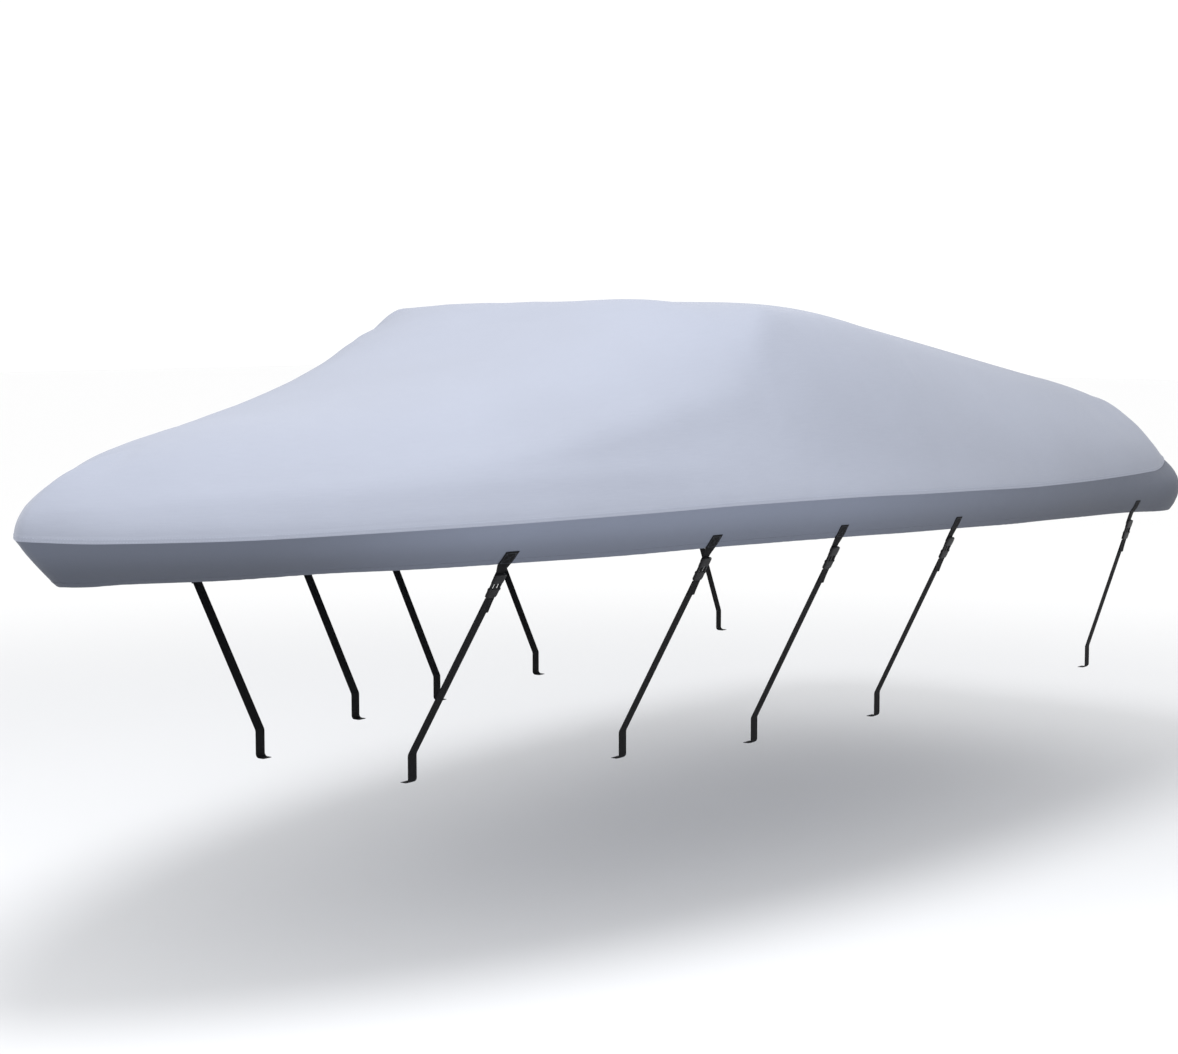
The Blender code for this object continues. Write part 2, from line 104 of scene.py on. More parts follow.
# One strap of each side a row: where it leaves the hem, and where it meets the rail's top edge,
# out from the centreline and up from the seam.
STRAP_COLUMNS = ("hem_aft", "rail_out", "rail_up")
STRAPS = (
    (1.146, 0.316, -0.685),
    (1.841, 0.568, -0.692),
    (2.402, 0.690, -0.716),
    (3.073, 0.765, -0.716),
    (4.533, 0.885, -0.715),
)
RAIL_DEPTH = 0.085
RAIL_TUCK = 0.030  # webbing turned in under the rail
RAIL_EDGE_RADIUS = 0.012
RAIL_TOP_RADIUS = 1.6 * RAIL_EDGE_RADIUS
TAIL_LENGTH = 0.050  # webbing doubled back below the buckle
TAIL_LIFT = 0.0025  # how far its end stands off the strap
TAB_CLIMB = 1 / 3  # share of the skirt that a tab climbs above the hem
TAB_PAST_BUCKLE_EDGE = (-0.006, 0.015)  # where it lies flat, from the buckle's upper edge
BUCKLE_FROM_HEM = 0.030
BUCKLE_LENGTH = 0.080
BUCKLE_THICKNESS = 0.010
SIDES = (("port", -1.0), ("starboard", 1.0))

# Creases that the cloth keeps over the boat, in points from end to end: along the seam from the
# bow, up the rib from the seam, height (a trough is below zero) and half width, in millimetres.
PORT_CREASES = {
    "quarter, drawn in behind the stern corner": (
        (5240, 330, 0, 110), (5290, 200, -9, 130), (5310, 105, -15, 130), (5320, 30, -12, 120),
    ),
    "windshield corner, down and forward along the foredeck": (
        (2700, 690, 0, 80), (2600, 620, 4, 85), (2470, 511, 6, 90), (2350, 372, 8, 90),
        (2186, 335, 9, 85), (1790, 277, 8, 80), (1485, 205, 7, 75), (1273, 195, 6, 75),
        (976, 200, 4, 80), (622, 193, 2, 80), (300, 180, 0, 80),
    ),
    "gunwale edge below the foredeck": (
        (2200, 110, 0, 45), (2016, 117, 3, 50), (1719, 126, 5, 55), (1188, 123, 7, 58),
        (842, 118, 7, 58), (500, 120, 5, 55), (220, 115, 0, 50),
    ),
    "short pull behind the windshield": (
        (3285, 505, 0, 18), (3266, 450, 2.5, 20), (3261, 400, 2, 20), (3262, 350, 0, 18),
    ),
    "stern corner, down to the quarter": (
        (5150, 400, 0, 60), (5172, 340, 7, 70), (5180, 280, 9, 80), (5190, 210, 8, 80),
        (5210, 110, 0, 70),
    ),
    "dip ahead of the stern corner, on top": (
        (4980, 620, 0, 80), (5110, 550, -8, 90), (5210, 465, -11, 90), (5268, 400, -9, 80),
        (5310, 330, 0, 80),
    ),
    "belly above the aft seam": (
        (3800, 100, 0, 90), (4350, 105, 6, 95), (4800, 100, 10, 95), (5080, 95, 9, 90),
        (5220, 80, 0, 80),
    ),
    "hollow ahead of the stern corner": (
        (4780, 420, 0, 90), (4860, 290, -5, 100), (4980, 170, -4, 90), (5080, 70, 0, 70),
    ),
}
STARBOARD_CREASES = {
    "front face, filled out below its corner": (
        (2080, 600, 0, 70), (2190, 615, 7, 75), (2265, 622, 13, 75), (2330, 630, 8, 70),
        (2390, 650, 0, 60),
    ),
    "windshield top, sagging between its corners": (
        (2455, 800, 0, 100), (2457, 900, -11, 110), (2462, 1010, -12, 110), (2480, 1160, -8, 110),
        (2500, 1320, 0, 100),
    ),
    "foredeck, filled out behind the nose": (
        (580, 440, 0, 100), (780, 430, 3, 110), (980, 410, 3.5, 110), (1200, 410, 0, 100),
    ),
    "foredeck, dipping ahead of the windshield": (
        (1200, 420, 0, 120), (1480, 470, -8, 130), (1780, 500, -12, 130), (2000, 540, -8, 120),
        (2150, 600, 0, 100),
    ),
    "quarter, drawn in behind the stern corner": (
        (5220, 330, 0, 110), (5280, 200, -8, 130), (5300, 105, -13, 130), (5310, 30, -10, 120),
    ),
    "windshield corner, down and forward along the foredeck": (
        (2720, 680, 0, 85), (2590, 600, 5, 85), (2455, 495, 7, 90), (2330, 365, 8, 90),
        (2150, 330, 8, 90), (1760, 268, 7, 80), (1450, 208, 7, 80), (1200, 192, 5, 75),
        (900, 196, 3, 80), (450, 190, 0, 80),
    ),
    "gunwale edge below the foredeck": (
        (2120, 105, 0, 45), (1900, 118, 3, 50), (1600, 124, 5, 55), (1050, 120, 6, 55),
        (700, 115, 5, 55), (260, 115, 0, 50),
    ),
    "short pull behind the windshield": (
        (3420, 470, 0, 20), (3390, 410, 2, 22), (3375, 350, 2, 22), (3370, 300, 0, 20),
    ),
    "stern corner, down to the quarter": (
        (5040, 450, 0, 60), (5160, 330, 6, 75), (5192, 220, 7, 80), (5230, 90, 0, 70),
    ),
    "belly above the aft seam": (
        (3900, 100, 0, 90), (4400, 100, 5, 95), (4820, 100, 9, 95), (5090, 90, 8, 90),
        (5220, 80, 0, 80),
    ),
    "hollow ahead of the stern corner": (
        (4760, 400, 0, 90), (4850, 280, -4, 100), (4960, 160, -4, 90), (5060, 70, 0, 70),
    ),
}

# The nose's own, the same on both sides, which meet on its spine.
NOSE_CREASES = {
    "nose, drawn in above the seam": (
        (0, 60, 0, 90), (0, 140, -5, 100), (60, 220, -1, 110), (260, 300, 0, 110),
    ),
    "nose, filled out across its spine": (
        (0, 420, 4, 150), (150, 400, 5, 150), (340, 290, 7, 140), (500, 310, 3, 130),
        (660, 350, 0, 130),
    ),
}

# The skirt's own, below the seam, where "up" is below zero.
SKIRT_CREASES = {
    "stem, filled out to the hem": (
        (0, -30, 3, 110), (0, -100, 7, 120), (0, -160, 13, 120), (0, -205, 12, 110),
    ),
}

# The hem is drawn up round the bow by a share of the skirt's depth: a bell at the stem, and a
# step that dies out ahead of the first strap.  Reaches are distances along the seam.
STEM_RISE, STEM_REACH = 0.085, 0.09
BOW_RISE, BOW_REACH, BOW_EASE = 0.05, 0.95, 0.22

CREASE_BLEND = 3.0  # how firmly the nearest stretch of a crease's line counts before the next
CREASE_BELL = 1.4  # how steeply a crease falls off across its width
SEAM_HOLD = 0.022  # from the seam to where creases have their full height
NOSE_REACH = 0.40  # the gunwale edge doesn't show this near the bow
GUNWALE_UP = 0.038  # from the seam to the middle of the gunwale edge under the cloth
PUCKER_PITCH, PUCKER_DRIFT, PUCKER_SWELL = 0.036, 0.23, 0.61  # lengths over which they repeat
PUCKER_FADE = (0.020, 0.025)  # how far they reach from the seam and from the hem

SLOPE_STEP = 0.02  # either way along the seam, to read the spine's slope
NORMAL_STEP = 0.002  # either way along the seam and up the rib, to read the cloth's normal
RIBS_ROUND = 604  # ribs of the cloth's fine grid, round the whole seam
FLANK_STEPS = 26
FLANK_CROWDING = 1.35  # power that crowds the flank's steps towards the seam
DECK_STEPS = 38
KNEE_EASING = 3  # times that the knee is eased, so that cloth rounds it
KNEE_REACH = 0.45  # how far from the knee it is eased, in the climb
SKIRT_ROWS = (
    0.0, 0.015, 0.04, 0.08, 0.13, 0.17, 0.24, 0.34, 0.44, 0.54, 0.64, 0.74, 0.84, 0.92, 0.97, 1.0,
)
HEM_SHARE = 0.16  # share of the skirt that is doubled as its hem


# ---- settings
def linear(code):
    """An sRGB hex colour as linear red, green and blue."""
    share = np.array([int(code[k : k + 2], 16) for k in (1, 3, 5)]) / 255
    low, high = share / 12.92, ((share + 0.055) / 1.055) ** 2.4
    return tuple(float(v) for v in np.where(share <= 0.04045, low, high))


def colour(name, description, code):
    """A colour property with its default from a hex value."""
    return FloatVectorProperty(
        name=name, description=description, subtype="COLOR", size=3,
        min=0.0, max=1.0, default=linear(code),
    )


def length(name, description, metres, most):
    """A length property in metres."""
    return FloatProperty(
        name=name, description=description, unit="LENGTH", subtype="DISTANCE",
        min=0.0, max=most, precision=4, default=metres,
    )


def power(name, description, watts):
    """A property for a lamp's power in watts."""
    return FloatProperty(
        name=name, description=description, unit="POWER", min=0.0, default=watts
    )


class CoverSizes(bpy.types.PropertyGroup):
    """Sizes of the cover's cloth, sewing and webbing."""

    cloth: length("Cloth", "Thickness of the coated cloth", 0.0012, 0.01)
    gunwale: length("Gunwale", "How far the gunwale edge holds the cloth out", 0.005, 0.02)
    seam_lip: length("Seam lip", "How far the folded seam edge stands proud", 0.0010, 0.01)
    seam_width: length("Seam width", "Width of the felled gunwale seam", 0.014, 0.05)
    hem_depth: length("Hem", "Depth of the doubled hem", 0.028, 0.1)
    hem_lip: length("Hem lip", "How far the doubled hem stands proud", 0.0010, 0.01)
    pucker: length("Pucker", "Height of the puckers beside the sewing", 0.0005, 0.01)
    stitch: length("Stitch", "Length of a stitch", 0.0055, 0.02)
    stitch_pitch: length("Stitch pitch", "From one stitch to the next", 0.0080, 0.03)
    thread: length("Thread", "Thickness of the sewing thread", 0.0009, 0.005)
    webbing_width: length("Webbing width", "Width of the strap webbing", 0.038, 0.1)
    webbing: length("Webbing", "Thickness of the strap webbing", 0.0020, 0.01)


class CoverColours(bpy.types.PropertyGroup):
    """Colours of the cover's finishes and of the floor."""

    top: colour("Top cloth", "Pale silver grey coated polyester", "#9297A5")
    skirt: colour("Skirt cloth", "Slate grey coated polyester", "#717889")
    webbing: colour("Webbing", "Black polypropylene webbing", "#0A0A0C")
    buckle: colour("Buckle", "Black acetal", "#09090B")
    pale_thread: colour("Pale thread", "Thread of the gunwale seam", "#A9AFC0")
    dark_thread: colour("Dark thread", "Thread of the hem and tabs", "#3A3F49")
    floor: colour("Floor", "Studio floor below the cover", "#DADBDD")
    far_floor: colour("Far floor", "Studio floor farther off", "#F7F7F7")


class StudioLight(bpy.types.PropertyGroup):
    """Strengths of the studio's light."""

    sky: FloatProperty(name="Sky", description="Even light from all round", default=1.06, min=0.0)
    key: power("Key", "Soft light above the bow", 194.0)
    fill: power("Fill", "Low soft light off the port side", 56.0)
    bow: power("Bow", "Soft light ahead of the bow", 22.0)


# ---- ribs and surface
def rib_table():
    """Places along the half seam and their rib rows, with the neighbour across each end added."""
    rows = np.array(RIBS, float)
    across = np.where(np.array(RIB_COLUMNS) == "seam_out", -1.0, 1.0)
    rows = np.vstack([rows[1] * across, rows, rows[-2] * across])
    reach = np.cumsum(np.linalg.norm(np.diff(rows[:, :3], axis=0), axis=1))
    at = np.concatenate([[0.0], reach]) - reach[0]
    return at, rows


def rib_slopes(at, rows):
    """Slopes at the rows from harmonic means, so that a curve through them never overshoots."""
    step = np.diff(at)[:, None]
    slope = np.diff(rows, axis=0) / step
    before, after = slope[:-1], slope[1:]
    near, far = 2 * step[1:] + step[:-1], step[1:] + 2 * step[:-1]
    same_way = before * after > 0
    below = near / np.where(same_way, before, 1.0) + far / np.where(same_way, after, 1.0)
    inner = np.where(same_way, (near + far) / np.where(same_way, below, 1.0), 0.0)
    return np.vstack([slope[:1], inner, slope[-1:]])


RIB_AT, RIB_ROWS = rib_table()
RIB_SLOPES = rib_slopes(RIB_AT, RIB_ROWS)
HALF_SEAM = float(RIB_AT[-2])  # from the bow to the transom's centreline


def unit(vectors):
    """The same vectors at length one, and nothing for a vector of no length."""
    return vectors / np.maximum(np.linalg.norm(vectors, axis=-1, keepdims=True), 1e-12)


def half_place(way):
    """Distance from the bow along the half seam, and the side, from the way round the whole seam.

    The way runs from the bow down the port side to the transom and back up the starboard side.
    """
    way = np.mod(way, 2 * HALF_SEAM)
    port = way <= HALF_SEAM
    return np.where(port, way, 2 * HALF_SEAM - way), np.where(port, -1.0, 1.0)


def sizes_at(along):
    """Named rib sizes at places along the half seam: a cubic through each pair of table rows."""
    k = np.clip(np.searchsorted(RIB_AT, along, side="right") - 1, 1, len(RIB_AT) - 3)
    span = (RIB_AT[k + 1] - RIB_AT[k])[..., None]
    u = (along - RIB_AT[k])[..., None] / span
    values = (
        (2 * u**3 - 3 * u**2 + 1) * RIB_ROWS[k]
        + (u**3 - 2 * u**2 + u) * span * RIB_SLOPES[k]
        + (3 * u**2 - 2 * u**3) * RIB_ROWS[k + 1]
        + (u**3 - u**2) * span * RIB_SLOPES[k + 1]
    )
    return dict(zip(RIB_COLUMNS, np.moveaxis(values, -1, 0)))


def leaned(degrees):
    """Unit vectors in a rib's plane, in from the seam and up, at a slope."""
    angle = np.radians(degrees)
    return np.stack([np.cos(angle), np.sin(angle)], axis=-1)


def rib_curve(start, end, out_of_start, into_end, u):
    """A cubic from start to end, whose handles lie along two unit ways."""
    hold = HANDLE * np.linalg.norm(end - start, axis=-1, keepdims=True)
    leave, arrive, rest = start + hold * out_of_start, end - hold * into_end, 1.0 - u
    return rest**3 * start + 3 * rest**2 * u * leave + 3 * rest * u**2 * arrive + u**3 * end


def rib_points(size):
    """A rib's hem, seam, knee and spine in its own plane, in from the seam and up."""
    zero = np.zeros_like(size["seam_up"])
    width = np.hypot(size["spine_aft"] - size["seam_aft"], size["seam_out"])
    hem = np.stack([size["hem_in"], size["seam_up"] - size["hem_drop"]], axis=-1)
    seam = np.stack([zero, size["seam_up"]], axis=-1)
    knee = np.stack([size["knee_in"], size["knee_up"]], axis=-1)
    spine = np.stack([width, size["spine_up"]], axis=-1)
    return hem, seam, knee, spine


def spine_slope(along):
    """How steeply the spine climbs where a rib meets it."""
    ahead, behind = (
        sizes_at(np.clip(along + step, 0.0, HALF_SEAM)) for step in (SLOPE_STEP, -SLOPE_STEP)
    )
    return (ahead["spine_up"] - behind["spine_up"]) / (ahead["spine_aft"] - behind["spine_aft"])


def cover_point(way, climb):
    """The taut cover's outer face, without creases.

    The way goes round the seam, and the climb goes up a rib: 0 hem, 1 seam, 2 knee, 3 spine.
    Below the seam a rib is a line with a parabola's swell.  From seam to knee and from knee to
    spine it is a cubic whose handles lean at the rib's angles.
    """
    along, side = half_place(way)
    size = sizes_at(along)
    hem, seam, knee, spine = rib_points(size)
    share, over_flank, over_deck = (
        np.clip(climb - level, 0.0, 1.0)[..., None] for level in (0.0, 1.0, 2.0)
    )
    out_of_skirt = unit((hem - seam)[..., ::-1] * np.array([1.0, -1.0]))
    skirt = hem + (seam - hem) * share
    skirt = skirt + out_of_skirt * size["skirt_swell"][..., None] * 4 * share * (1 - share)
    seam_way, flank_way, deck_way = (
        leaned(size[f"{part}_angle"]) for part in ("seam", "flank", "deck")
    )
    flank = rib_curve(seam, knee, seam_way, flank_way, over_flank)
    width = spine[..., 0]
    # both sides meet without a kink: a rib arrives at its own share of the spine's slope
    rise = spine_slope(along) * (size["spine_aft"] - size["seam_aft"]) / width
    spine_way = unit(np.stack([np.ones_like(rise), rise], axis=-1))
    deck = rib_curve(knee, spine, deck_way, spine_way, over_deck)
    level = climb[..., None]
    inward, up = np.moveaxis(np.where(level < 1, skirt, np.where(level < 2, flank, deck)), -1, 0)
    aft = size["seam_aft"] + inward * (size["spine_aft"] - size["seam_aft"]) / width
    out = size["seam_out"] * (1.0 - inward / width)
    return np.stack([aft, side * out, up], axis=-1) - ORIGIN


def height_up(way, climb):
    """Distance up the rib from the seam, measured along the chords from hem to spine."""
    hem, seam, knee, spine = rib_points(sizes_at(half_place(way)[0]))
    below, flank, deck = (
        np.linalg.norm(b - a, axis=-1) for a, b in ((hem, seam), (seam, knee), (knee, spine))
    )
    return (
        np.minimum(climb - 1.0, 0.0) * below
        + np.clip(climb - 1.0, 0.0, 1.0) * flank
        + np.clip(climb - 2.0, 0.0, 1.0) * deck
    )


def hem_rise(along):
    """How much of its depth the skirt's hem is drawn up round the bow, as a share."""
    bell = STEM_RISE * np.exp(-((along / STEM_REACH) ** 2))
    return bell + BOW_RISE * (1 - np.tanh((along - BOW_REACH) / BOW_EASE))


def crease_height(along, up, points):
    """One crease: its height by the nearest stretches of its line, under a bell of its width."""
    rows = np.array(points) / 1000
    offs, heights = [], []
    for start, step in zip(rows[:-1], np.diff(rows, axis=0)):
        a, b = along - start[0], up - start[1]
        t = np.clip((a * step[0] + b * step[1]) / (step[:2] @ step[:2]), 0.0, 1.0)
        _, _, height, half_width = (value + t * change for value, change in zip(start, step))
        offs.append(((a - t * step[0]) ** 2 + (b - t * step[1]) ** 2) / half_width**2)
        heights.append(height)
    nearest = np.min(offs, axis=0)
    share = np.exp(-CREASE_BLEND * (np.array(offs) - nearest))
    height = (share * heights).sum(axis=0) / share.sum(axis=0)
    return height * np.exp(-CREASE_BELL * nearest)


def step_down(distance, width):
    """One up to a width, then a soft step down to nothing over a tenth of it."""
    return 0.5 - 0.5 * np.tanh((distance - width) / (0.06 * width))


def relief(way, climb, sizes):
    """How far the cloth stands out from the taut form: creases, folded edges and puckers.

    Creases are summed, and die out at the seam, which holds both cloths together.  Puckers are
    sine waves along the sewing whose beat drifts and swells, and they fade away from it.
    """
    along, side = half_place(way)
    up = height_up(way, climb)
    port, starboard, nose, below = (
        sum(crease_height(along, up, points) for points in creases.values())
        for creases in (PORT_CREASES, STARBOARD_CREASES, NOSE_CREASES, SKIRT_CREASES)
    )
    total = np.where(climb >= 1, np.where(side < 0, port, starboard) + nose, below)
    total = total * (1 - np.exp(-((up / SEAM_HOLD) ** 2)))
    # above the seam, the gunwale edge holds the cloth out, and the seam's folded edge lies on it
    edge = sizes.gunwale * (1 - np.exp(-((along / NOSE_REACH) ** 2)))
    edge = edge * (up / GUNWALE_UP) * np.exp(1 - up / GUNWALE_UP)
    above = edge + sizes.seam_lip * step_down(up, sizes.seam_width)
    # below it, the hem is doubled
    size = sizes_at(along)
    from_hem = (climb - hem_rise(along)) * np.hypot(size["hem_in"], size["hem_drop"])
    below = sizes.hem_lip * step_down(from_hem, sizes.hem_depth)
    total = total + np.where(climb >= 1, above, below)
    turn = 2 * np.pi * way
    beat = np.sin(turn / PUCKER_PITCH + 1.7 * np.sin(turn / PUCKER_DRIFT))
    swell = 0.6 + 0.4 * np.sin(turn / PUCKER_SWELL + 0.8)
    by_seam, by_hem = PUCKER_FADE
    fade = np.exp(-np.abs(up) / by_seam) + np.where(climb < 1, np.exp(-from_hem / by_hem), 0.0)
    return total + sizes.pucker * beat * swell * fade


def face_normals(points):
    """Outward normals of a grid whose first direction closes on itself."""
    along = np.roll(points, -1, axis=0) - np.roll(points, 1, axis=0)
    return unit(np.cross(along, np.gradient(points, axis=1)))


def cloth_frame(way, climb, sizes):
    """Points on the creased cloth at single places, with their outward normals and way forward."""
    forward = cover_point(way + NORMAL_STEP, climb) - cover_point(way - NORMAL_STEP, climb)
    forward = unit(forward)
    upward = cover_point(way, climb + NORMAL_STEP) - cover_point(way, climb - NORMAL_STEP)
    normal = unit(np.cross(forward, upward))
    return cover_point(way, climb) + normal * relief(way, climb, sizes)[..., None], normal, forward


# ---- meshes
def place_object(name, data):
    """A new object at the origin, in the scene."""
    made = bpy.data.objects.new(name, data)
    bpy.context.scene.collection.objects.link(made)
    return made


def add_piece(name, points, faces, finish, uv=None, sharp=40.0):
    """Put corner points and faces of equal corner count into a new object.

    The faces point out where the wedges from the origin to their triangles add up to a volume
    above nothing.
    """
    mesh = bpy.data.meshes.new(name)
    points, faces = np.asarray(points, float).reshape(-1, 3), np.asarray(faces)
    mesh.from_pydata(points.tolist(), [], faces.tolist())
    if uv is not None:
        corner = np.zeros(len(mesh.loops), np.int32)
        mesh.loops.foreach_get("vertex_index", corner)
        layer = mesh.uv_layers.new(name="thread")
        layer.data.foreach_set("uv", uv.reshape(-1, 2)[corner].ravel())
    mesh.validate()
    mesh.shade_smooth()
    mesh.set_sharp_from_angle(angle=math.radians(sharp))
    volume = 0.0
    for k in range(1, faces.shape[1] - 1):
        a, b, c = np.moveaxis(points[faces[:, [0, k, k + 1]]], 1, 0)
        volume += np.einsum("ij,ij->", a, np.cross(b, c))
    if not volume > 0:
        raise RuntimeError(f"{name} is inside out")
    mesh.materials.append(finish)
    return place_object(name, mesh)


def quads(index):
    """Four-cornered faces between neighbouring rows and columns of a grid of corner numbers."""
    corners = [index[:-1, :-1], index[1:, :-1], index[1:, 1:], index[:-1, 1:]]
    return np.stack(corners, axis=-1).reshape(-1, 4)


def shell_faces(index, below, closed_end=False):
    """Faces of a sheet with two sides and its open edges closed.

    The index numbers the outer side's corners, row by row, and the inner side's follow it by
    below.  The last column's edge stays open when both halves of the sheet meet there.
    """
    faces = [quads(index), quads(index)[:, ::-1] + below]
    edges = [index[:, 0]]
    if not closed_end:
        edges.append(index[::-1, -1])
    if not (index[0] == index[-1]).all():
        edges += [index[0, ::-1], index[-1]]
    for edge in edges:
        a, b = edge[:-1], edge[1:]
        faces.append(np.stack([b, a, a + below, b + below], axis=-1))
    return np.concatenate(faces)


def closed_rings(rings, ends):
    """A closed form of triangles: rings of points, drawn to an end point before and after them."""
    count, around = rings[..., 0].size, rings.shape[1]
    number = np.arange(count).reshape(rings.shape[:2])
    number = np.column_stack([number, number[:, :1]])
    sides = quads(number)
    start = [np.full(around, count), number[0, 1:], number[0, :-1]]
    end = [np.full(around, count + 1), number[-1, :-1], number[-1, 1:]]
    faces = [sides[:, [0, 2, 1]], sides[:, [0, 3, 2]], np.transpose(start), np.transpose(end)]
    return np.concatenate([rings.reshape(-1, 3), ends]), np.concatenate(faces)


def ride_and_stand_for(piece, slot, *nodes):
    """Tie a piece to the cover's body, and hide the solids that it stands for."""
    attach(piece, "root")
    if nodes:
        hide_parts(*nodes)


# ---- materials
WAVE_PERIOD = math.pi / 10  # a wave texture's period at scale 1
MIX_A, MIX_B, MIX_RESULT = 6, 7, 2  # a Mix node's sockets when it mixes colours
MIX_COLOURS = {"data_type": "RGBA"}
SMOOTH = {"interpolation_type": "SMOOTHSTEP"}
MULTIPLY = {"operation": "MULTIPLY"}


def connect(node, links):
    """Link sources to a node's sockets."""
    for socket, source in links.items():
        node.id_data.links.new(source, node.inputs[socket])


def add_node(tree, kind, links=None, values=None, settings=None, out=0):
    """Add a shader node, link its sockets, set their values and its choices, and give an output."""
    made = tree.nodes.new("ShaderNode" + kind)
    for name, value in (settings or {}).items():
        setattr(made, name, value)
    for socket, value in (values or {}).items():
        made.inputs[socket].default_value = value
    connect(made, links or {})
    return made.outputs[out]


def new_material(name):
    """An empty material, the function that adds nodes to it, and its Principled shader."""
    made = bpy.data.materials.new(name)
    made.use_nodes = True
    tree = made.node_tree
    return made, partial(add_node, tree), tree.nodes["Principled BSDF"]


def tints(colour, darker, lighter, lift=0.0):
    """A Mix node's two colours: one scaled down, and one scaled up with a little added."""
    return {
        MIX_A: (*(darker * c for c in colour), 1.0),
        MIX_B: (*(min(1.0, lighter * c + lift) for c in colour), 1.0),
    }


def along_and_up(add, thread):
    """Distance from the bow along the seam, and up from it, off the cloth's own UV map."""
    return (add("SeparateXYZ", {"Vector": thread}, out=axis) for axis in "XY")


def skirt_painted_shade(add, thread):
    """Painted shade on the skirt: darker towards the hem, the bow and the quarters, where it faces
    down or away from the lamps.
    """
    along, up = along_and_up(add, thread)
    # each ramp paints shade into the colour: low on the skirt, at the bow, and aft where the light
    # fades
    ramps = [
        add(
            "MapRange", {"Value": place},
            {"From Min": start, "From Max": end, "To Min": first, "To Max": last}, SMOOTH,
        )
        for place, start, end, first, last in (
            (up, -0.015, -0.14, 1.0, 0.68),
            (along, 0.55, 1.35, 0.60, 0.96),
            (along, 2.0, 4.6, 1.0, 0.58),
        )
    ]
    shade = ramps[0]
    for ramp in ramps[1:]:
        shade = add("Math", {0: shade, 1: ramp}, settings=MULTIPLY)
    return shade


def top_painted_shade(add, thread):
    """Painted shade: a little darker low on the sides, where the cloth turns under, and only aft of
    the windshield, where the light fades.
    """
    along, up = along_and_up(add, thread)
    # painted shade: the colour is darkened near the seam, more so towards the stern
    low = add(
        "MapRange", {"Value": along},
        {"From Min": 2.4, "From Max": 4.4, "To Min": 1.0, "To Max": 0.86}, SMOOTH,
    )
    return add(
        "MapRange", {"Value": up, "To Min": low},
        {"From Min": 0.03, "From Max": 0.30, "To Max": 1.0}, SMOOTH,
    )


def coated_polyester(name, colour, painted_shade):
    """Plain-woven 600-denier polyester, coated and heat-set: matt, with a faint sheen.

    Its threads stand 0.5 mm apart, too fine to show, so the weave is drawn at 3 mm.
    """
    made, add, shader = new_material(name)
    pitch = 0.003
    thread = add("UVMap", settings={"uv_map": "thread"})
    place = add("TexCoord", out="Object")
    warp, weft = (
        add(
            "TexWave", {"Vector": thread},
            {"Scale": WAVE_PERIOD / pitch, "Distortion": 0.6, "Detail": 1.0},
            {"bands_direction": way}, "Fac",
        )
        for way in ("X", "Y")
    )
    over = add("TexChecker", {"Vector": thread}, {"Scale": 1 / pitch}, out="Fac")
    weave = add("Mix", {0: over, 2: warp, 3: weft})
    # broad, faint differences in shade, as rolled and stretched cloth has
    broad = add("TexNoise", {"Vector": place}, {"Scale": 1.7, "Detail": 3.0, "Roughness": 0.55})
    # slubs along the threads
    along = add("Mapping", {"Vector": thread}, {"Scale": (14.0, 260.0, 1.0)})
    slub = add("TexNoise", {"Vector": along}, {"Scale": 1.0, "Detail": 2.0})
    shades = [
        add("MapRange", {"Value": pattern}, {"To Min": low, "To Max": high})
        for pattern, low, high in ((slub, 0.955, 1.03), (weave, 0.965, 1.015))
    ]
    cloth = add("Mix", {0: broad}, tints(colour, 0.93, 1.07), MIX_COLOURS, MIX_RESULT)
    # the last factor multiplied in is painted shade, from the function given
    for shade in (*shades, painted_shade(add, thread)):
        cloth = add(
            "Mix", {MIX_A: cloth, MIX_B: shade}, {0: 1.0},
            {**MIX_COLOURS, "blend_type": "MULTIPLY"}, MIX_RESULT,
        )
    rough = add("MapRange", {"Value": broad}, {"To Min": 0.66, "To Max": 0.84})
    # small soft rumples that the taut cloth keeps from its folds in the bag
    rumple = add("TexNoise", {"Vector": place}, {"Scale": 9.0, "Detail": 3.0, "Roughness": 0.45})
    soft = add("Bump", {"Height": rumple}, {"Strength": 0.18, "Distance": 0.012})
    fine = add("Bump", {"Height": weave, "Normal": soft}, {"Strength": 0.25, "Distance": 0.0006})
    shader.inputs["Sheen Weight"].default_value = 0.08
    shader.inputs["Sheen Roughness"].default_value = 0.5
    shader.inputs["Specular IOR Level"].default_value = 0.35
    connect(shader, {"Base Color": cloth, "Roughness": rough, "Normal": fine})
    return made


def polypropylene_webbing(name, colour):
    """Flat woven polypropylene webbing: black ribs with a dull gloss, fuzzed a little in use.

    Its ribs stand 1.3 mm apart, and are drawn at 2.4 mm so that they show.
    """
    made, add, shader = new_material(name)
    pitch = 0.0024
    thread = add("UVMap", settings={"uv_map": "thread"})
    straight, slant = (
        add(
            "TexWave", {"Vector": thread},
            {"Scale": WAVE_PERIOD / size, "Distortion": 0.3}, {"bands_direction": way}, "Fac",
        )
        for way, size in (("X", pitch), ("DIAGONAL", 1.5 * pitch))
    )
    rib = add("Math", {0: slant, 2: straight}, {1: 0.6}, {"operation": "MULTIPLY_ADD"})
    fuzz = add("TexNoise", {"Vector": thread}, {"Scale": 420.0, "Detail": 3.0})
    worn = add("Math", {0: rib, 1: fuzz}, settings=MULTIPLY)
    tint = add("Mix", {0: worn}, tints(colour, 0.65, 2.2, 0.001), MIX_COLOURS, MIX_RESULT)
    rough = add("MapRange", {"Value": fuzz}, {"To Min": 0.52, "To Max": 0.78})
    bump = add("Bump", {"Height": rib}, {"Strength": 0.6, "Distance": 0.0008})
    shader.inputs["Specular IOR Level"].default_value = 0.1
    connect(shader, {"Base Color": tint, "Roughness": rough, "Normal": bump})
    return made


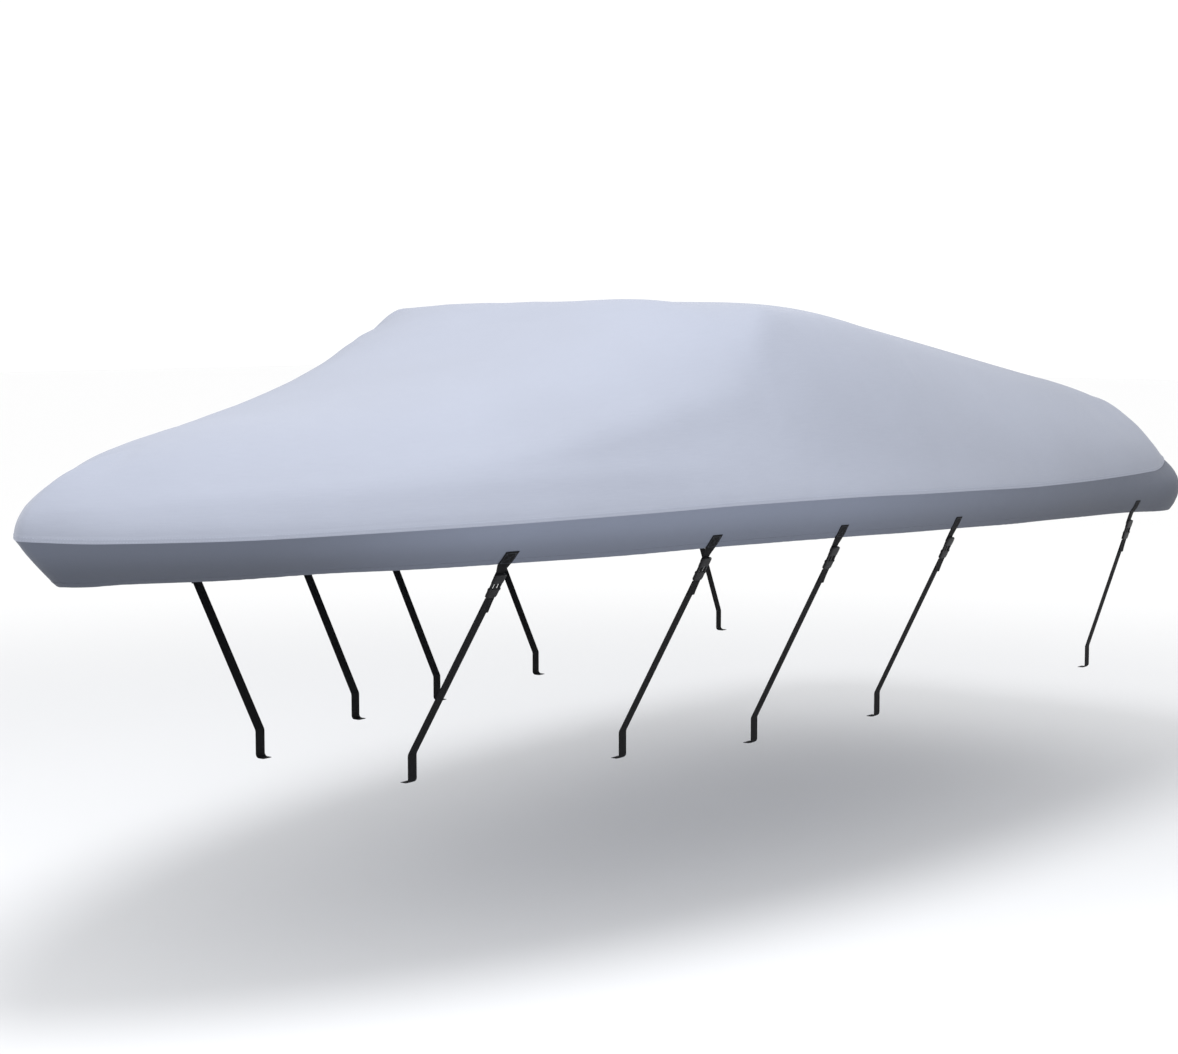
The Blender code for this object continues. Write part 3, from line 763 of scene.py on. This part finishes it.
def moulded_acetal(name, colour):
    """Injection-moulded acetal: satin black with a spark-eroded grain and a few scuffs.

    The real grain is 0.1 mm, and is drawn at about 0.6 mm so that it shows.
    """
    made, add, shader = new_material(name)
    place = add("TexCoord", out="Object")
    grain = add("TexNoise", {"Vector": place}, {"Scale": 1600.0, "Detail": 2.0})
    scuff = add("TexNoise", {"Vector": place}, {"Scale": 150.0, "Detail": 4.0, "Roughness": 0.65})
    tint = add("Mix", {0: scuff}, tints(colour, 0.8, 2.0, 0.001), MIX_COLOURS, MIX_RESULT)
    rough = add("MapRange", {"Value": scuff}, {"To Min": 0.26, "To Max": 0.46})
    bump = add("Bump", {"Height": grain}, {"Strength": 0.25, "Distance": 0.0002})
    shader.inputs["Specular IOR Level"].default_value = 0.16
    connect(shader, {"Base Color": tint, "Roughness": rough, "Normal": bump})
    return made


def bonded_thread(name, colour):
    """Bonded polyester sewing thread: three plies, waxed, with small soft highlights.

    The plies turn over each 1.5 mm.
    """
    made, add, shader = new_material(name)
    place = add("TexCoord", out="Object")
    ply = add(
        "TexWave", {"Vector": place},
        {"Scale": WAVE_PERIOD / 0.0015, "Distortion": 0.5}, {"bands_direction": "DIAGONAL"}, "Fac",
    )
    shade = add("TexNoise", {"Vector": place}, {"Scale": 60.0, "Detail": 2.0})
    tint = add("Mix", {0: shade}, tints(colour, 0.8, 1.15), MIX_COLOURS, MIX_RESULT)
    rough = add("MapRange", {"Value": shade}, {"To Min": 0.45, "To Max": 0.62})
    bump = add("Bump", {"Height": ply}, {"Strength": 0.4, "Distance": 0.0002})
    connect(shader, {"Base Color": tint, "Roughness": rough, "Normal": bump})
    return made


def painted_floor(name, near, far):
    """Matt floor paint: pale grey under the cover, and swept up to white farther off."""
    made, add, shader = new_material(name)
    place = add("TexCoord", out="Object")
    reach = add("VectorMath", {0: place}, settings={"operation": "LENGTH"}, out="Value")
    away = add(
        "MapRange", {"Value": reach}, {"From Min": 3.0, "From Max": 10.0},
        {"interpolation_type": "SMOOTHERSTEP"},
    )
    tint = add("Mix", {0: away}, {MIX_A: (*near, 1.0), MIX_B: (*far, 1.0)}, MIX_COLOURS, MIX_RESULT)
    shader.inputs["Roughness"].default_value = 0.9
    shader.inputs["Specular IOR Level"].default_value = 0.1
    connect(shader, {"Base Color": tint})
    return made


# ---- cloth
def cloth_grid(climb):
    """The fine grid's ways round the seam, one a row, and its climbs up the rib, one a column."""
    way = 2 * HALF_SEAM * np.arange(RIBS_ROUND) / RIBS_ROUND
    return np.meshgrid(way, climb, indexing="ij")


def thread_map(ways, climbs):
    """The cloth's UV map in metres: along the seam from the bow, and up the rib from the seam."""
    return np.stack([half_place(ways)[0], height_up(ways, climbs)], axis=-1)


def make_top_cloth(sizes, colours):
    """The top cloth: a two-sided sheet on the ribs from seam to spine, both halves in one.

    Each rib is a row, from the bow round the seam.  Both sides' ribs share their points on the
    spine.  The knee is eased by averaging neighbours there, and the creases stand out along the
    normals.
    """
    flank = 1 + np.linspace(0.0, 1.0, FLANK_STEPS + 1)[:-1] ** FLANK_CROWDING
    climb = np.concatenate([flank, 2 + np.linspace(0.0, 1.0, DECK_STEPS + 1)])
    ways, climbs = cloth_grid(climb)
    taut = cover_point(ways, climbs)
    near_knee = np.exp(-(((climb - 2.0) / KNEE_REACH) ** 2))[1:-1, None]
    for _ in range(KNEE_EASING):
        eased = (taut[:, :-2] + taut[:, 2:]) / 2
        taut[:, 1:-1] += 0.5 * near_knee * (eased - taut[:, 1:-1])
    normal = face_normals(taut)
    normal[:, -1] = unit(normal[:, -2] * np.array([1.0, 0.0, 1.0]))
    raised = relief(ways, climbs, sizes)
    raised[:, -1] = (raised[:, -1] + np.roll(raised[::-1, -1], 1)) / 2
    raised[:, 0] -= 0.4 * sizes.seam_lip  # the folded edge is rounded
    outer = taut + normal * raised[..., None]
    outer[:, 0] += unit(outer[:, 1] - outer[:, 0]) * GAP / 2
    inner = outer - face_normals(outer) * sizes.cloth
    inner[:, -1] = outer[:, -1] - normal[:, -1] * sizes.cloth

    rib, wide = np.arange(RIBS_ROUND), len(climb) - 1
    index = np.arange(RIBS_ROUND * wide).reshape(RIBS_ROUND, wide)
    index = np.column_stack([index, RIBS_ROUND * wide + np.minimum(rib, RIBS_ROUND - rib)])
    index = np.vstack([index, index[:1]])

    def joined(grid):
        spine = grid[: RIBS_ROUND // 2 + 1, -1]
        return np.concatenate([grid[:, :-1].reshape(-1, grid.shape[-1]), spine])

    points = np.concatenate([joined(outer), joined(inner)])
    uv = np.tile(joined(thread_map(ways, climbs)), (2, 1))
    faces = shell_faces(index, len(points) // 2, closed_end=True)
    # its colour carries painted shade, darker low on the aft sides
    finish = coated_polyester("coated polyester, pale silver grey", colours.top, top_painted_shade)
    piece = add_piece("top_sheet", points, faces, finish, uv)
    ride_and_stand_for(piece, "top_cloth", "top_cloth")


def make_skirt(sizes, colours):
    """The skirt panel: a two-sided ring from the doubled hem up to the gunwale seam.

    Rows go round the hem, and columns climb by the shares of its depth that the table gives.
    """
    climb = np.array(SKIRT_ROWS)
    climb[-1] -= GAP
    ways, shares = cloth_grid(climb)
    drawn = hem_rise(half_place(ways)[0])
    climbs = drawn + (1 - drawn) * shares
    taut = cover_point(ways, climbs)
    normal = face_normals(taut)
    raised = relief(ways, climbs, sizes)
    raised[:, 0] -= 0.5 * sizes.hem_lip  # the folded edge is rounded
    outer = taut + normal * raised[..., None]
    thickness = sizes.cloth + np.where(shares < HEM_SHARE, sizes.hem_lip, 0.0)
    inner = outer - normal * thickness[..., None]
    index = np.arange(ways.size).reshape(ways.shape)
    faces = shell_faces(np.vstack([index, index[:1]]), ways.size)
    uv = np.tile(thread_map(ways, climbs).reshape(-1, 2), (2, 1))
    # its colour carries painted shade, darker towards the hem, the bow and the quarters
    finish = coated_polyester("coated polyester, slate grey", colours.skirt, skirt_painted_shade)
    piece = add_piece("skirt_sheet", np.stack([outer, inner]), faces, finish, uv)
    ride_and_stand_for(piece, "skirt_cloth", "skirt_panel")


# ---- sewing
STITCH_SIDES = 6
STITCH_RINGS = (-0.72, 0.0, 0.72)  # places of its rings, as shares of half its length
SEAM_ROWS_UP = (0.0035, 0.0105)  # rows of topstitching, up from the seam
ROW_SHIFT = 0.3  # how far a row is shifted along, as a share of its distance up
HEM_ROW_UP = 0.022  # row of topstitching, up from the hem
TAB_ROWS = 9  # points down the tab where it lies on the skirt
TAB_BOX = (0.12, 0.88)  # edges of the box sewn there, as shares of its length and width
TAB_LINE_STITCHES = 6
THREAD_CLEAR = 0.00005  # left below the thread's middle


def stitch_form():
    """One stitch at size one: a spindle along X whose rings shrink as a circle's chords do."""
    turn = 2 * np.pi * np.arange(STITCH_SIDES) / STITCH_SIDES
    at = np.array(STITCH_RINGS)[:, None] * np.ones(STITCH_SIDES)
    radius = np.sqrt(1 - at**2)
    rings = np.stack([at, radius * np.cos(turn), radius * np.sin(turn)], axis=-1)
    return closed_rings(rings, [[-1.0, 0.0, 0.0], [1.0, 0.0, 0.0]])


STITCH_POINTS, STITCH_FACES = stitch_form()


def stitch_row(centre, normal, forward, sizes):
    """Corner points of many stitches: the one form turned to each place, half sunk in the cloth."""
    reach = STITCH_POINTS * np.array([sizes.stitch, sizes.thread, sizes.thread]) / 2
    ways = np.stack([forward, np.cross(normal, forward), normal], axis=1)
    return centre[:, None] + reach @ ways


def add_stitches(name, rows, thread, slot):
    """Join rows of stitches into one piece."""
    points = np.concatenate(rows)
    first = len(STITCH_POINTS) * np.arange(len(points))[:, None, None]
    piece = add_piece(name, points, (STITCH_FACES + first).reshape(-1, 3), thread, sharp=80.0)
    ride_and_stand_for(piece, slot)


def seam_stitches(sizes, colours):
    """Two rows of topstitching along the gunwale seam and one round the hem."""
    count = int(2 * HALF_SEAM / sizes.stitch_pitch)
    way = 2 * HALF_SEAM * (np.arange(count) + 0.5) / count
    along = half_place(way)[0]
    hem, seam, knee, _ = rib_points(sizes_at(along))
    skirt, flank = (np.linalg.norm(b - a, axis=-1) for a, b in ((hem, seam), (seam, knee)))
    seam_rows = [(way + up * ROW_SHIFT, 1 + up / flank) for up in SEAM_ROWS_UP]
    hem_row = (way, hem_rise(along) + HEM_ROW_UP / skirt)
    for name, rows, shade, dye, slot in (
        ("gunwale_seam_stitching", seam_rows, "pale grey", colours.pale_thread, "top_cloth"),
        ("hem_stitching", [hem_row], "dark grey", colours.dark_thread, "skirt_cloth"),
    ):
        thread = bonded_thread(f"bonded thread, {shade}", dye)
        made = [stitch_row(*cloth_frame(*row, sizes), sizes) for row in rows]
        add_stitches(name, made, thread, slot)


# ---- webbing
WEBBING_COLUMNS = 11
WEBBING_CUP = 0.0004  # how far webbing under load cups
TAIL_STEPS, FOLD_STEPS, RUN_STEPS, BEND_STEPS, TWIST_STEPS = 12, 10, 60, 8, 6
SEARCH_STEPS = 4000  # places along the half seam among which a strap's is found
BESIDE = 0.01  # either way along the seam, to read how far aft the hem goes there
WEBBING_ACROSS = np.linspace(-0.5, 0.5, WEBBING_COLUMNS)  # shares of its width


def strap_place(strap):
    """Where along the half seam a strap's rib lies: its hem is as far aft as the table says."""
    along = np.linspace(0.0, HALF_SEAM, SEARCH_STEPS)
    aft = np.maximum.accumulate(cover_point(along, np.zeros_like(along))[:, 0])
    return float(np.interp(strap["hem_aft"] - CREST_AFT, aft, along))


def strap_frame(strap, side):
    """A strap's place round the seam, its ends at hem and rail, and its ways down, across, out."""
    along = strap_place(strap)
    place = np.array(along if side < 0 else 2 * HALF_SEAM - along)
    hem = cover_point(place, np.zeros(()))
    rail = np.array([strap["hem_aft"], side * strap["rail_out"], strap["rail_up"]]) - ORIGIN
    down = unit(rail - hem)
    across = unit(np.cross(down, [0.0, 0.0, 1.0])) * -side
    return place, hem, rail, down, across, np.cross(across, down) * side


def webbing_sheet(name, grid, outward, sizes, finish):
    """A strip of webbing: its back on a grid of rows, thinned to soft edges across its width.

    The grid holds path points by points across.  The front stands one thickness off the back,
    and both draw together towards the edges by the root of one less an eighth power.
    """
    across = 2 * WEBBING_ACROSS
    thick = sizes.webbing * np.sqrt(1 - 0.75 * across**8)[None, :, None]
    middle = grid + outward * sizes.webbing / 2
    sides = np.stack([middle + outward * thick / 2, middle - outward * thick / 2])
    run = np.linalg.norm(np.diff(grid[:, WEBBING_COLUMNS // 2], axis=0), axis=1)
    run = np.concatenate([[0.0], np.cumsum(run)])
    uv = np.meshgrid(run, across * sizes.webbing_width / 2, indexing="ij")
    uv = np.tile(np.stack(uv[::-1], axis=-1).reshape(-1, 2), (2, 1))
    index = np.arange(grid[..., 0].size).reshape(grid.shape[:2])
    if (np.cross(np.gradient(grid, axis=0), np.gradient(grid, axis=1)) * outward).sum() < 0:
        index = index[:, ::-1]
    return add_piece(name, sides, shell_faces(index, index.size), finish, uv, 60.0), float(run[-1])


def tab_grid(strap, side, sizes):
    """The tab's back: down the skirt's own face, over the hem, then flat in the strap's plane."""
    place, hem, _, down, across, outward = strap_frame(strap, side)
    steps = WEBBING_ACROSS * sizes.webbing_width
    aft = cover_point(place + np.array([-BESIDE, BESIDE]), np.zeros(2))[:, 0]
    ways = place + steps * 2 * BESIDE / (aft[1] - aft[0]) * np.sign(across[0])
    climbs, ways = np.meshgrid(np.linspace(TAB_CLIMB, 0.0, TAB_ROWS), ways, indexing="ij")
    on_skirt, normal, _ = cloth_frame(ways, climbs, sizes)
    free = np.linspace(0.0, 1.0, TWIST_STEPS)[1:, None, None]
    start, end = (
        hem + steps[:, None] * across + down * (BUCKLE_FROM_HEM + past)
        for past in TAB_PAST_BUCKLE_EDGE
    )
    grid = np.concatenate([on_skirt, on_skirt[-1] * (1 - free) + start * free, end[None]])
    turned = unit(normal[-1] * (1 - free) + outward * free)
    off = np.concatenate([normal, turned, np.broadcast_to(outward, turned[:1].shape)])
    return grid + off * GAP, off


def rounded(corner, before, after, radius):
    """The bend of webbing round a corner: a circle that touches both runs, at even angles."""
    back, on = unit(before - corner), unit(after - corner)
    half = math.acos(np.clip(back @ on, -1.0, 1.0)) / 2
    centre = corner + unit(back + on) * radius / math.sin(half)
    reach = radius / math.tan(half)
    start, end = corner + back * reach - centre, corner + on * reach - centre
    square = unit(end - start * (start @ end) / (start @ start)) * np.linalg.norm(start)
    turn = math.acos(np.clip(unit(start) @ unit(end), -1.0, 1.0))
    angle = np.linspace(0.0, turn, BEND_STEPS)[:, None]
    return centre + start * np.cos(angle) + square * np.sin(angle)


def strap_grid(strap, side, sizes):
    """The strap's middle: tail, fold below the buckle, taut run, and the turn in round the rail."""
    _, hem, rail, down, across, outward = strap_frame(strap, side)
    fold = (sizes.webbing + GAP) / 2
    lift = sizes.webbing + 2 * GAP + BUCKLE_THICKNESS / 2
    below = BUCKLE_FROM_HEM + BUCKLE_LENGTH + GAP + sizes.webbing / 2 + fold
    centre = hem + outward * lift + down * below
    angle = np.linspace(0.0, math.pi, FOLD_STEPS)[:, None]
    turn = centre + (outward * np.cos(angle) - down * np.sin(angle)) * fold
    share = np.linspace(1.0, 0.0, TAIL_STEPS)[:-1, None]
    tail = centre + outward * (fold + TAIL_LIFT * share**2) + down * TAIL_LENGTH * share
    inward = np.array([0.0, -side, 0.0])
    foot = rail - np.array([0.0, 0.0, RAIL_DEPTH])
    end = foot + inward * RAIL_TUCK
    top = rounded(rail, turn[-1], foot, RAIL_TOP_RADIUS)
    bottom = rounded(foot, rail, end, RAIL_EDGE_RADIUS)
    share = np.linspace(0.0, 1.0, RUN_STEPS)[1:-1, None]
    run = turn[-1] * (1 - share) + top[0] * share
    tucked = [foot + inward * (RAIL_TUCK + RAIL_EDGE_RADIUS) / 2, end]
    path = np.concatenate([tail, turn, run, top, bottom, tucked])
    forward = unit(np.gradient(path, axis=0))
    normal = unit(np.cross(np.broadcast_to(across, forward.shape), forward))[:, None] * side
    steps = WEBBING_ACROSS[None, :, None] * sizes.webbing_width
    cup = WEBBING_CUP * (1 - (2 * WEBBING_ACROSS[:, None]) ** 2)
    grid = path[:, None] + steps * across + normal * cup
    off = np.repeat(normal, WEBBING_COLUMNS, axis=1)
    return grid - off * sizes.webbing / 2, off


def tab_stitches(strap, side, sizes):
    """A box with a cross in it, sewn through the tab where it lies on the skirt.

    Each line's places are shares of the tab's length and width, and each is looked up between
    the four grid points round it.
    """
    grid, off = tab_grid(strap, side, sizes)
    face = grid[:TAB_ROWS] + off[:TAB_ROWS] * (sizes.webbing + THREAD_CLEAR)
    low, high = TAB_BOX
    corners = np.array([[low, low], [low, high], [high, high], [high, low]])
    share = (np.arange(TAB_LINE_STITCHES) + 0.5)[:, None] / TAB_LINE_STITCHES
    made = []
    for start, end in ((0, 1), (1, 2), (2, 3), (3, 0), (0, 2), (1, 3)):
        at = corners[start] + (corners[end] - corners[start]) * share
        u, v = at[:, 0] * (TAB_ROWS - 1), at[:, 1] * (WEBBING_COLUMNS - 1)
        i, j = u.astype(int), v.astype(int)
        s, t = (u - i)[:, None], (v - j)[:, None]
        point = (
            (face[i, j] * (1 - s) + face[i + 1, j] * s) * (1 - t)
            + (face[i, j + 1] * (1 - s) + face[i + 1, j + 1] * s) * t
        )
        forward = np.broadcast_to(unit(point[-1] - point[0]), point.shape)
        made.append(stitch_row(point, off[i, j], forward, sizes))
    return np.concatenate(made)


# ---- buckles
# One rounded block of the side-release buckle a row: its middle along the strap, out to the side
# and off the back, its half lengths the same three ways, and how square its outline is.
BUCKLE_BLOCKS = {
    "socket": (0.0155, 0.0000, 0.0050, 0.0155, 0.0250, 0.0050, 5.0),
    "socket rim": (0.0285, 0.0000, 0.0050, 0.0030, 0.0252, 0.0046, 4.0),
    "upper bar": (0.0040, 0.0000, 0.0078, 0.0032, 0.0185, 0.0022, 5.0),
    "left prong": (0.0400, -0.0180, 0.0050, 0.0130, 0.0042, 0.0036, 4.0),
    "right prong": (0.0400, 0.0180, 0.0050, 0.0130, 0.0042, 0.0036, 4.0),
    "middle rail": (0.0400, 0.0000, 0.0048, 0.0130, 0.0048, 0.0030, 5.0),
    "plug": (0.0650, 0.0000, 0.0050, 0.0150, 0.0245, 0.0048, 5.0),
    "ladder bar": (0.0665, 0.0000, 0.0086, 0.0022, 0.0190, 0.0014, 4.0),
    "lower bar": (0.0760, 0.0000, 0.0080, 0.0028, 0.0200, 0.0022, 4.0),
    "thumb pad, left": (0.0520, -0.0205, 0.0050, 0.0050, 0.0045, 0.0046, 3.0),
    "thumb pad, right": (0.0520, 0.0205, 0.0050, 0.0050, 0.0045, 0.0046, 3.0),
}
BLOCK_AROUND = 44
BLOCK_OVER = 13
BLOCK_EDGE = 4.0  # how square its edges are


def rounded_block(along, aside, off, half_along, half_aside, half_off, square):
    """A block with rounded edges: sines and cosines of two angles, each raised to a low power.

    It is a sphere at power one, and comes near a box as the power nears nothing.
    """

    def squared(wave, size):
        return np.sign(wave) * np.abs(wave) ** (2.0 / size)

    turn = 2 * np.pi * np.arange(BLOCK_AROUND) / BLOCK_AROUND
    tilt = np.linspace(-np.pi / 2, np.pi / 2, BLOCK_OVER)[1:-1, None]
    ring = squared(np.cos(tilt), BLOCK_EDGE)
    height = squared(np.sin(tilt), BLOCK_EDGE) * np.ones(BLOCK_AROUND)
    rings = [ring * squared(np.cos(turn), square), ring * squared(np.sin(turn), square), height]
    points, faces = closed_rings(np.stack(rings, axis=-1), [[0.0, 0.0, -1.0], [0.0, 0.0, 1.0]])
    return points * (half_along, half_aside, half_off) + (along, aside, off), faces


def buckle_form():
    """All blocks of one buckle, along the strap from its upper end, aside, and off its back."""
    blocks = [rounded_block(*row) for row in BUCKLE_BLOCKS.values()]
    firsts = np.cumsum([0] + [len(points) for points, _ in blocks])
    points = np.concatenate([points for points, _ in blocks])
    return points, np.concatenate([faces + k for (_, faces), k in zip(blocks, firsts)])


# ---- operators
def settings():
    """The cover's settings on the scene."""
    return bpy.context.scene.boat_cover_sizes, bpy.context.scene.boat_cover_colours


def each_strap():
    """Every strap with its label, its sizes and its side."""
    for side_name, side in SIDES:
        for number, row in enumerate(STRAPS, start=1):
            yield f"{side_name}_{number}", dict(zip(STRAP_COLUMNS, row)), side


class BOATCOVER_OT_top(bpy.types.Operator):
    """Make the pale top cloth"""

    bl_idname = "boat_cover.top"
    bl_label = "Top cloth"

    def execute(self, context):
        make_top_cloth(*settings())
        return {"FINISHED"}


class BOATCOVER_OT_skirt(bpy.types.Operator):
    """Make the slate skirt panel with its hem"""

    bl_idname = "boat_cover.skirt"
    bl_label = "Skirt panel"

    def execute(self, context):
        make_skirt(*settings())
        return {"FINISHED"}


class BOATCOVER_OT_sewing(bpy.types.Operator):
    """Sew the gunwale seam, the hem and the tabs"""

    bl_idname = "boat_cover.sewing"
    bl_label = "Sewing"

    def execute(self, context):
        sizes, colours = settings()
        seam_stitches(sizes, colours)
        thread = bonded_thread("bonded thread, charcoal", colours.dark_thread)
        rows = [tab_stitches(strap, side, sizes) for _, strap, side in each_strap()]
        add_stitches("tab_stitching", rows, thread, "webbing")
        return {"FINISHED"}


class BOATCOVER_OT_webbing(bpy.types.Operator):
    """Make the tabs and the tie-down straps"""

    bl_idname = "boat_cover.webbing"
    bl_label = "Tabs and straps"

    def execute(self, context):
        sizes, colours = settings()
        finish = polypropylene_webbing("polypropylene webbing, black", colours.webbing)
        for label, strap, side in each_strap():
            for kind, grid_of in (("tab", tab_grid), ("strap", strap_grid)):
                grid, off = grid_of(strap, side, sizes)
                piece, run = webbing_sheet(f"{kind}_webbing_{label}", grid, off, sizes, finish)
                ride_and_stand_for(piece, "webbing", f"{kind}_{label}")
        return {"FINISHED"}


class BOATCOVER_OT_buckles(bpy.types.Operator):
    """Make the side-release buckles"""

    bl_idname = "boat_cover.buckles"
    bl_label = "Buckles"

    def execute(self, context):
        sizes, colours = settings()
        finish = moulded_acetal("moulded acetal, black", colours.buckle)
        form, faces = buckle_form()
        for label, strap, side in each_strap():
            _, hem, _, down, _, outward = strap_frame(strap, side)
            back = hem + down * BUCKLE_FROM_HEM + outward * (sizes.webbing + 2 * GAP)
            points = back + form @ np.stack([down, np.cross(outward, down), outward])
            piece = add_piece(f"buckle_parts_{label}", points, faces, finish, sharp=50.0)
            ride_and_stand_for(piece, "buckle_plastic", f"buckle_{label}")
        return {"FINISHED"}


FLOOR_UP = -1.908  # the ground the boat's trailer stands on
FLOOR_REACH = 60.0
CAMERA_AT = (-5.99, -4.577, -0.058)
CAMERA_WAY = (0.795, 0.606)
CAMERA_DOWN = math.radians(5.375)
CAMERA_LENS = 67.23
FILM_WIDTH = 36.0
# Soft round lamps near the bow, so that their light fades aft: where each stands, what it faces
# and its width.
LAMPS = {
    "key": ((-1.5, -0.7, 4.3), (-0.8, -0.3, -0.3), 2.6),
    "fill": ((-2.2, -4.6, 0.6), (-0.1, -0.9, -0.4), 2.0),
    "bow": ((-5.0, 0.8, 1.2), (-2.3, -0.1, -0.5), 1.6),
}


def face_along(made, at, way):
    """Stand a lamp or a camera at a point, looking along a way with its top up."""
    made.location = at
    made.rotation_euler = way.to_track_quat("-Z", "Y").to_euler()


class BOATCOVER_OT_stage(bpy.types.Operator):
    """Set the floor, the soft light and the camera"""

    bl_idname = "boat_cover.stage"
    bl_label = "Studio"

    def execute(self, context):
        scene = context.scene
        colours, light = scene.boat_cover_colours, scene.boat_cover_light
        mesh = bpy.data.meshes.new("studio_floor")
        reach = FLOOR_REACH
        corners = [(-reach, -reach), (reach, -reach), (reach, reach), (-reach, reach)]
        mesh.from_pydata([(x, y, FLOOR_UP) for x, y in corners], [], [(0, 1, 2, 3)])
        paint = painted_floor("matt floor paint, near white", colours.floor, colours.far_floor)
        mesh.materials.append(paint)
        place_object("studio_floor", mesh)

        scene.world = bpy.data.worlds.new("studio")
        scene.world.use_nodes = True
        sky = scene.world.node_tree.nodes["Background"]
        sky.inputs["Color"].default_value = (1.0, 1.0, 1.0, 1.0)
        sky.inputs["Strength"].default_value = light.sky

        for name, (stand, aim, width) in LAMPS.items():
            glow = bpy.data.lights.new(f"{name}_light", "AREA")
            glow.energy = getattr(light, name)
            glow.shape = "DISK"
            glow.size = width
            face_along(place_object(f"{name}_light", glow), stand, Vector(aim) - Vector(stand))

        lens = bpy.data.cameras.new("camera")
        lens.sensor_width = FILM_WIDTH
        lens.lens = CAMERA_LENS
        scene.camera = place_object("camera", lens)
        level = Vector((*CAMERA_WAY, 0.0)).normalized()
        down = Vector((0.0, 0.0, math.sin(CAMERA_DOWN)))
        face_along(scene.camera, CAMERA_AT, level * math.cos(CAMERA_DOWN) - down)
        scene.view_settings.view_transform = "Standard"
        return {"FINISHED"}


class BOATCOVER_PT_panel(bpy.types.Panel):
    """Lists the cover's settings and the pieces to make"""

    bl_idname = "BOATCOVER_PT_panel"
    bl_label = "Boat cover"
    bl_space_type = "VIEW_3D"
    bl_region_type = "UI"
    bl_category = "Boat cover"

    def draw(self, context):
        for setting in GROUPS:
            group, box = getattr(context.scene, setting), self.layout.box()
            for name in group.__annotations__:
                box.prop(group, name)
        for operator in OPERATORS:
            self.layout.operator(operator.bl_idname)


OPERATORS = (
    BOATCOVER_OT_top,
    BOATCOVER_OT_skirt,
    BOATCOVER_OT_sewing,
    BOATCOVER_OT_webbing,
    BOATCOVER_OT_buckles,
    BOATCOVER_OT_stage,
)
GROUPS = {
    "boat_cover_sizes": CoverSizes,
    "boat_cover_colours": CoverColours,
    "boat_cover_light": StudioLight,
}
CLASSES = (*GROUPS.values(), *OPERATORS, BOATCOVER_PT_panel)


def register():
    """Add the classes and put their settings on the scene."""
    for kind in CLASSES:
        bpy.utils.register_class(kind)
    for name, group in GROUPS.items():
        setattr(bpy.types.Scene, name, PointerProperty(type=group))


def unregister():
    """Take the settings and the classes away again."""
    for name in GROUPS:
        delattr(bpy.types.Scene, name)
    for kind in reversed(CLASSES):
        bpy.utils.unregister_class(kind)


def main():
    """Make every piece and the studio."""
    register()
    bpy.ops.boat_cover.top()
    bpy.ops.boat_cover.skirt()
    bpy.ops.boat_cover.sewing()
    bpy.ops.boat_cover.webbing()
    bpy.ops.boat_cover.buckles()
    bpy.ops.boat_cover.stage()


if __name__ == "__main__":
    main()
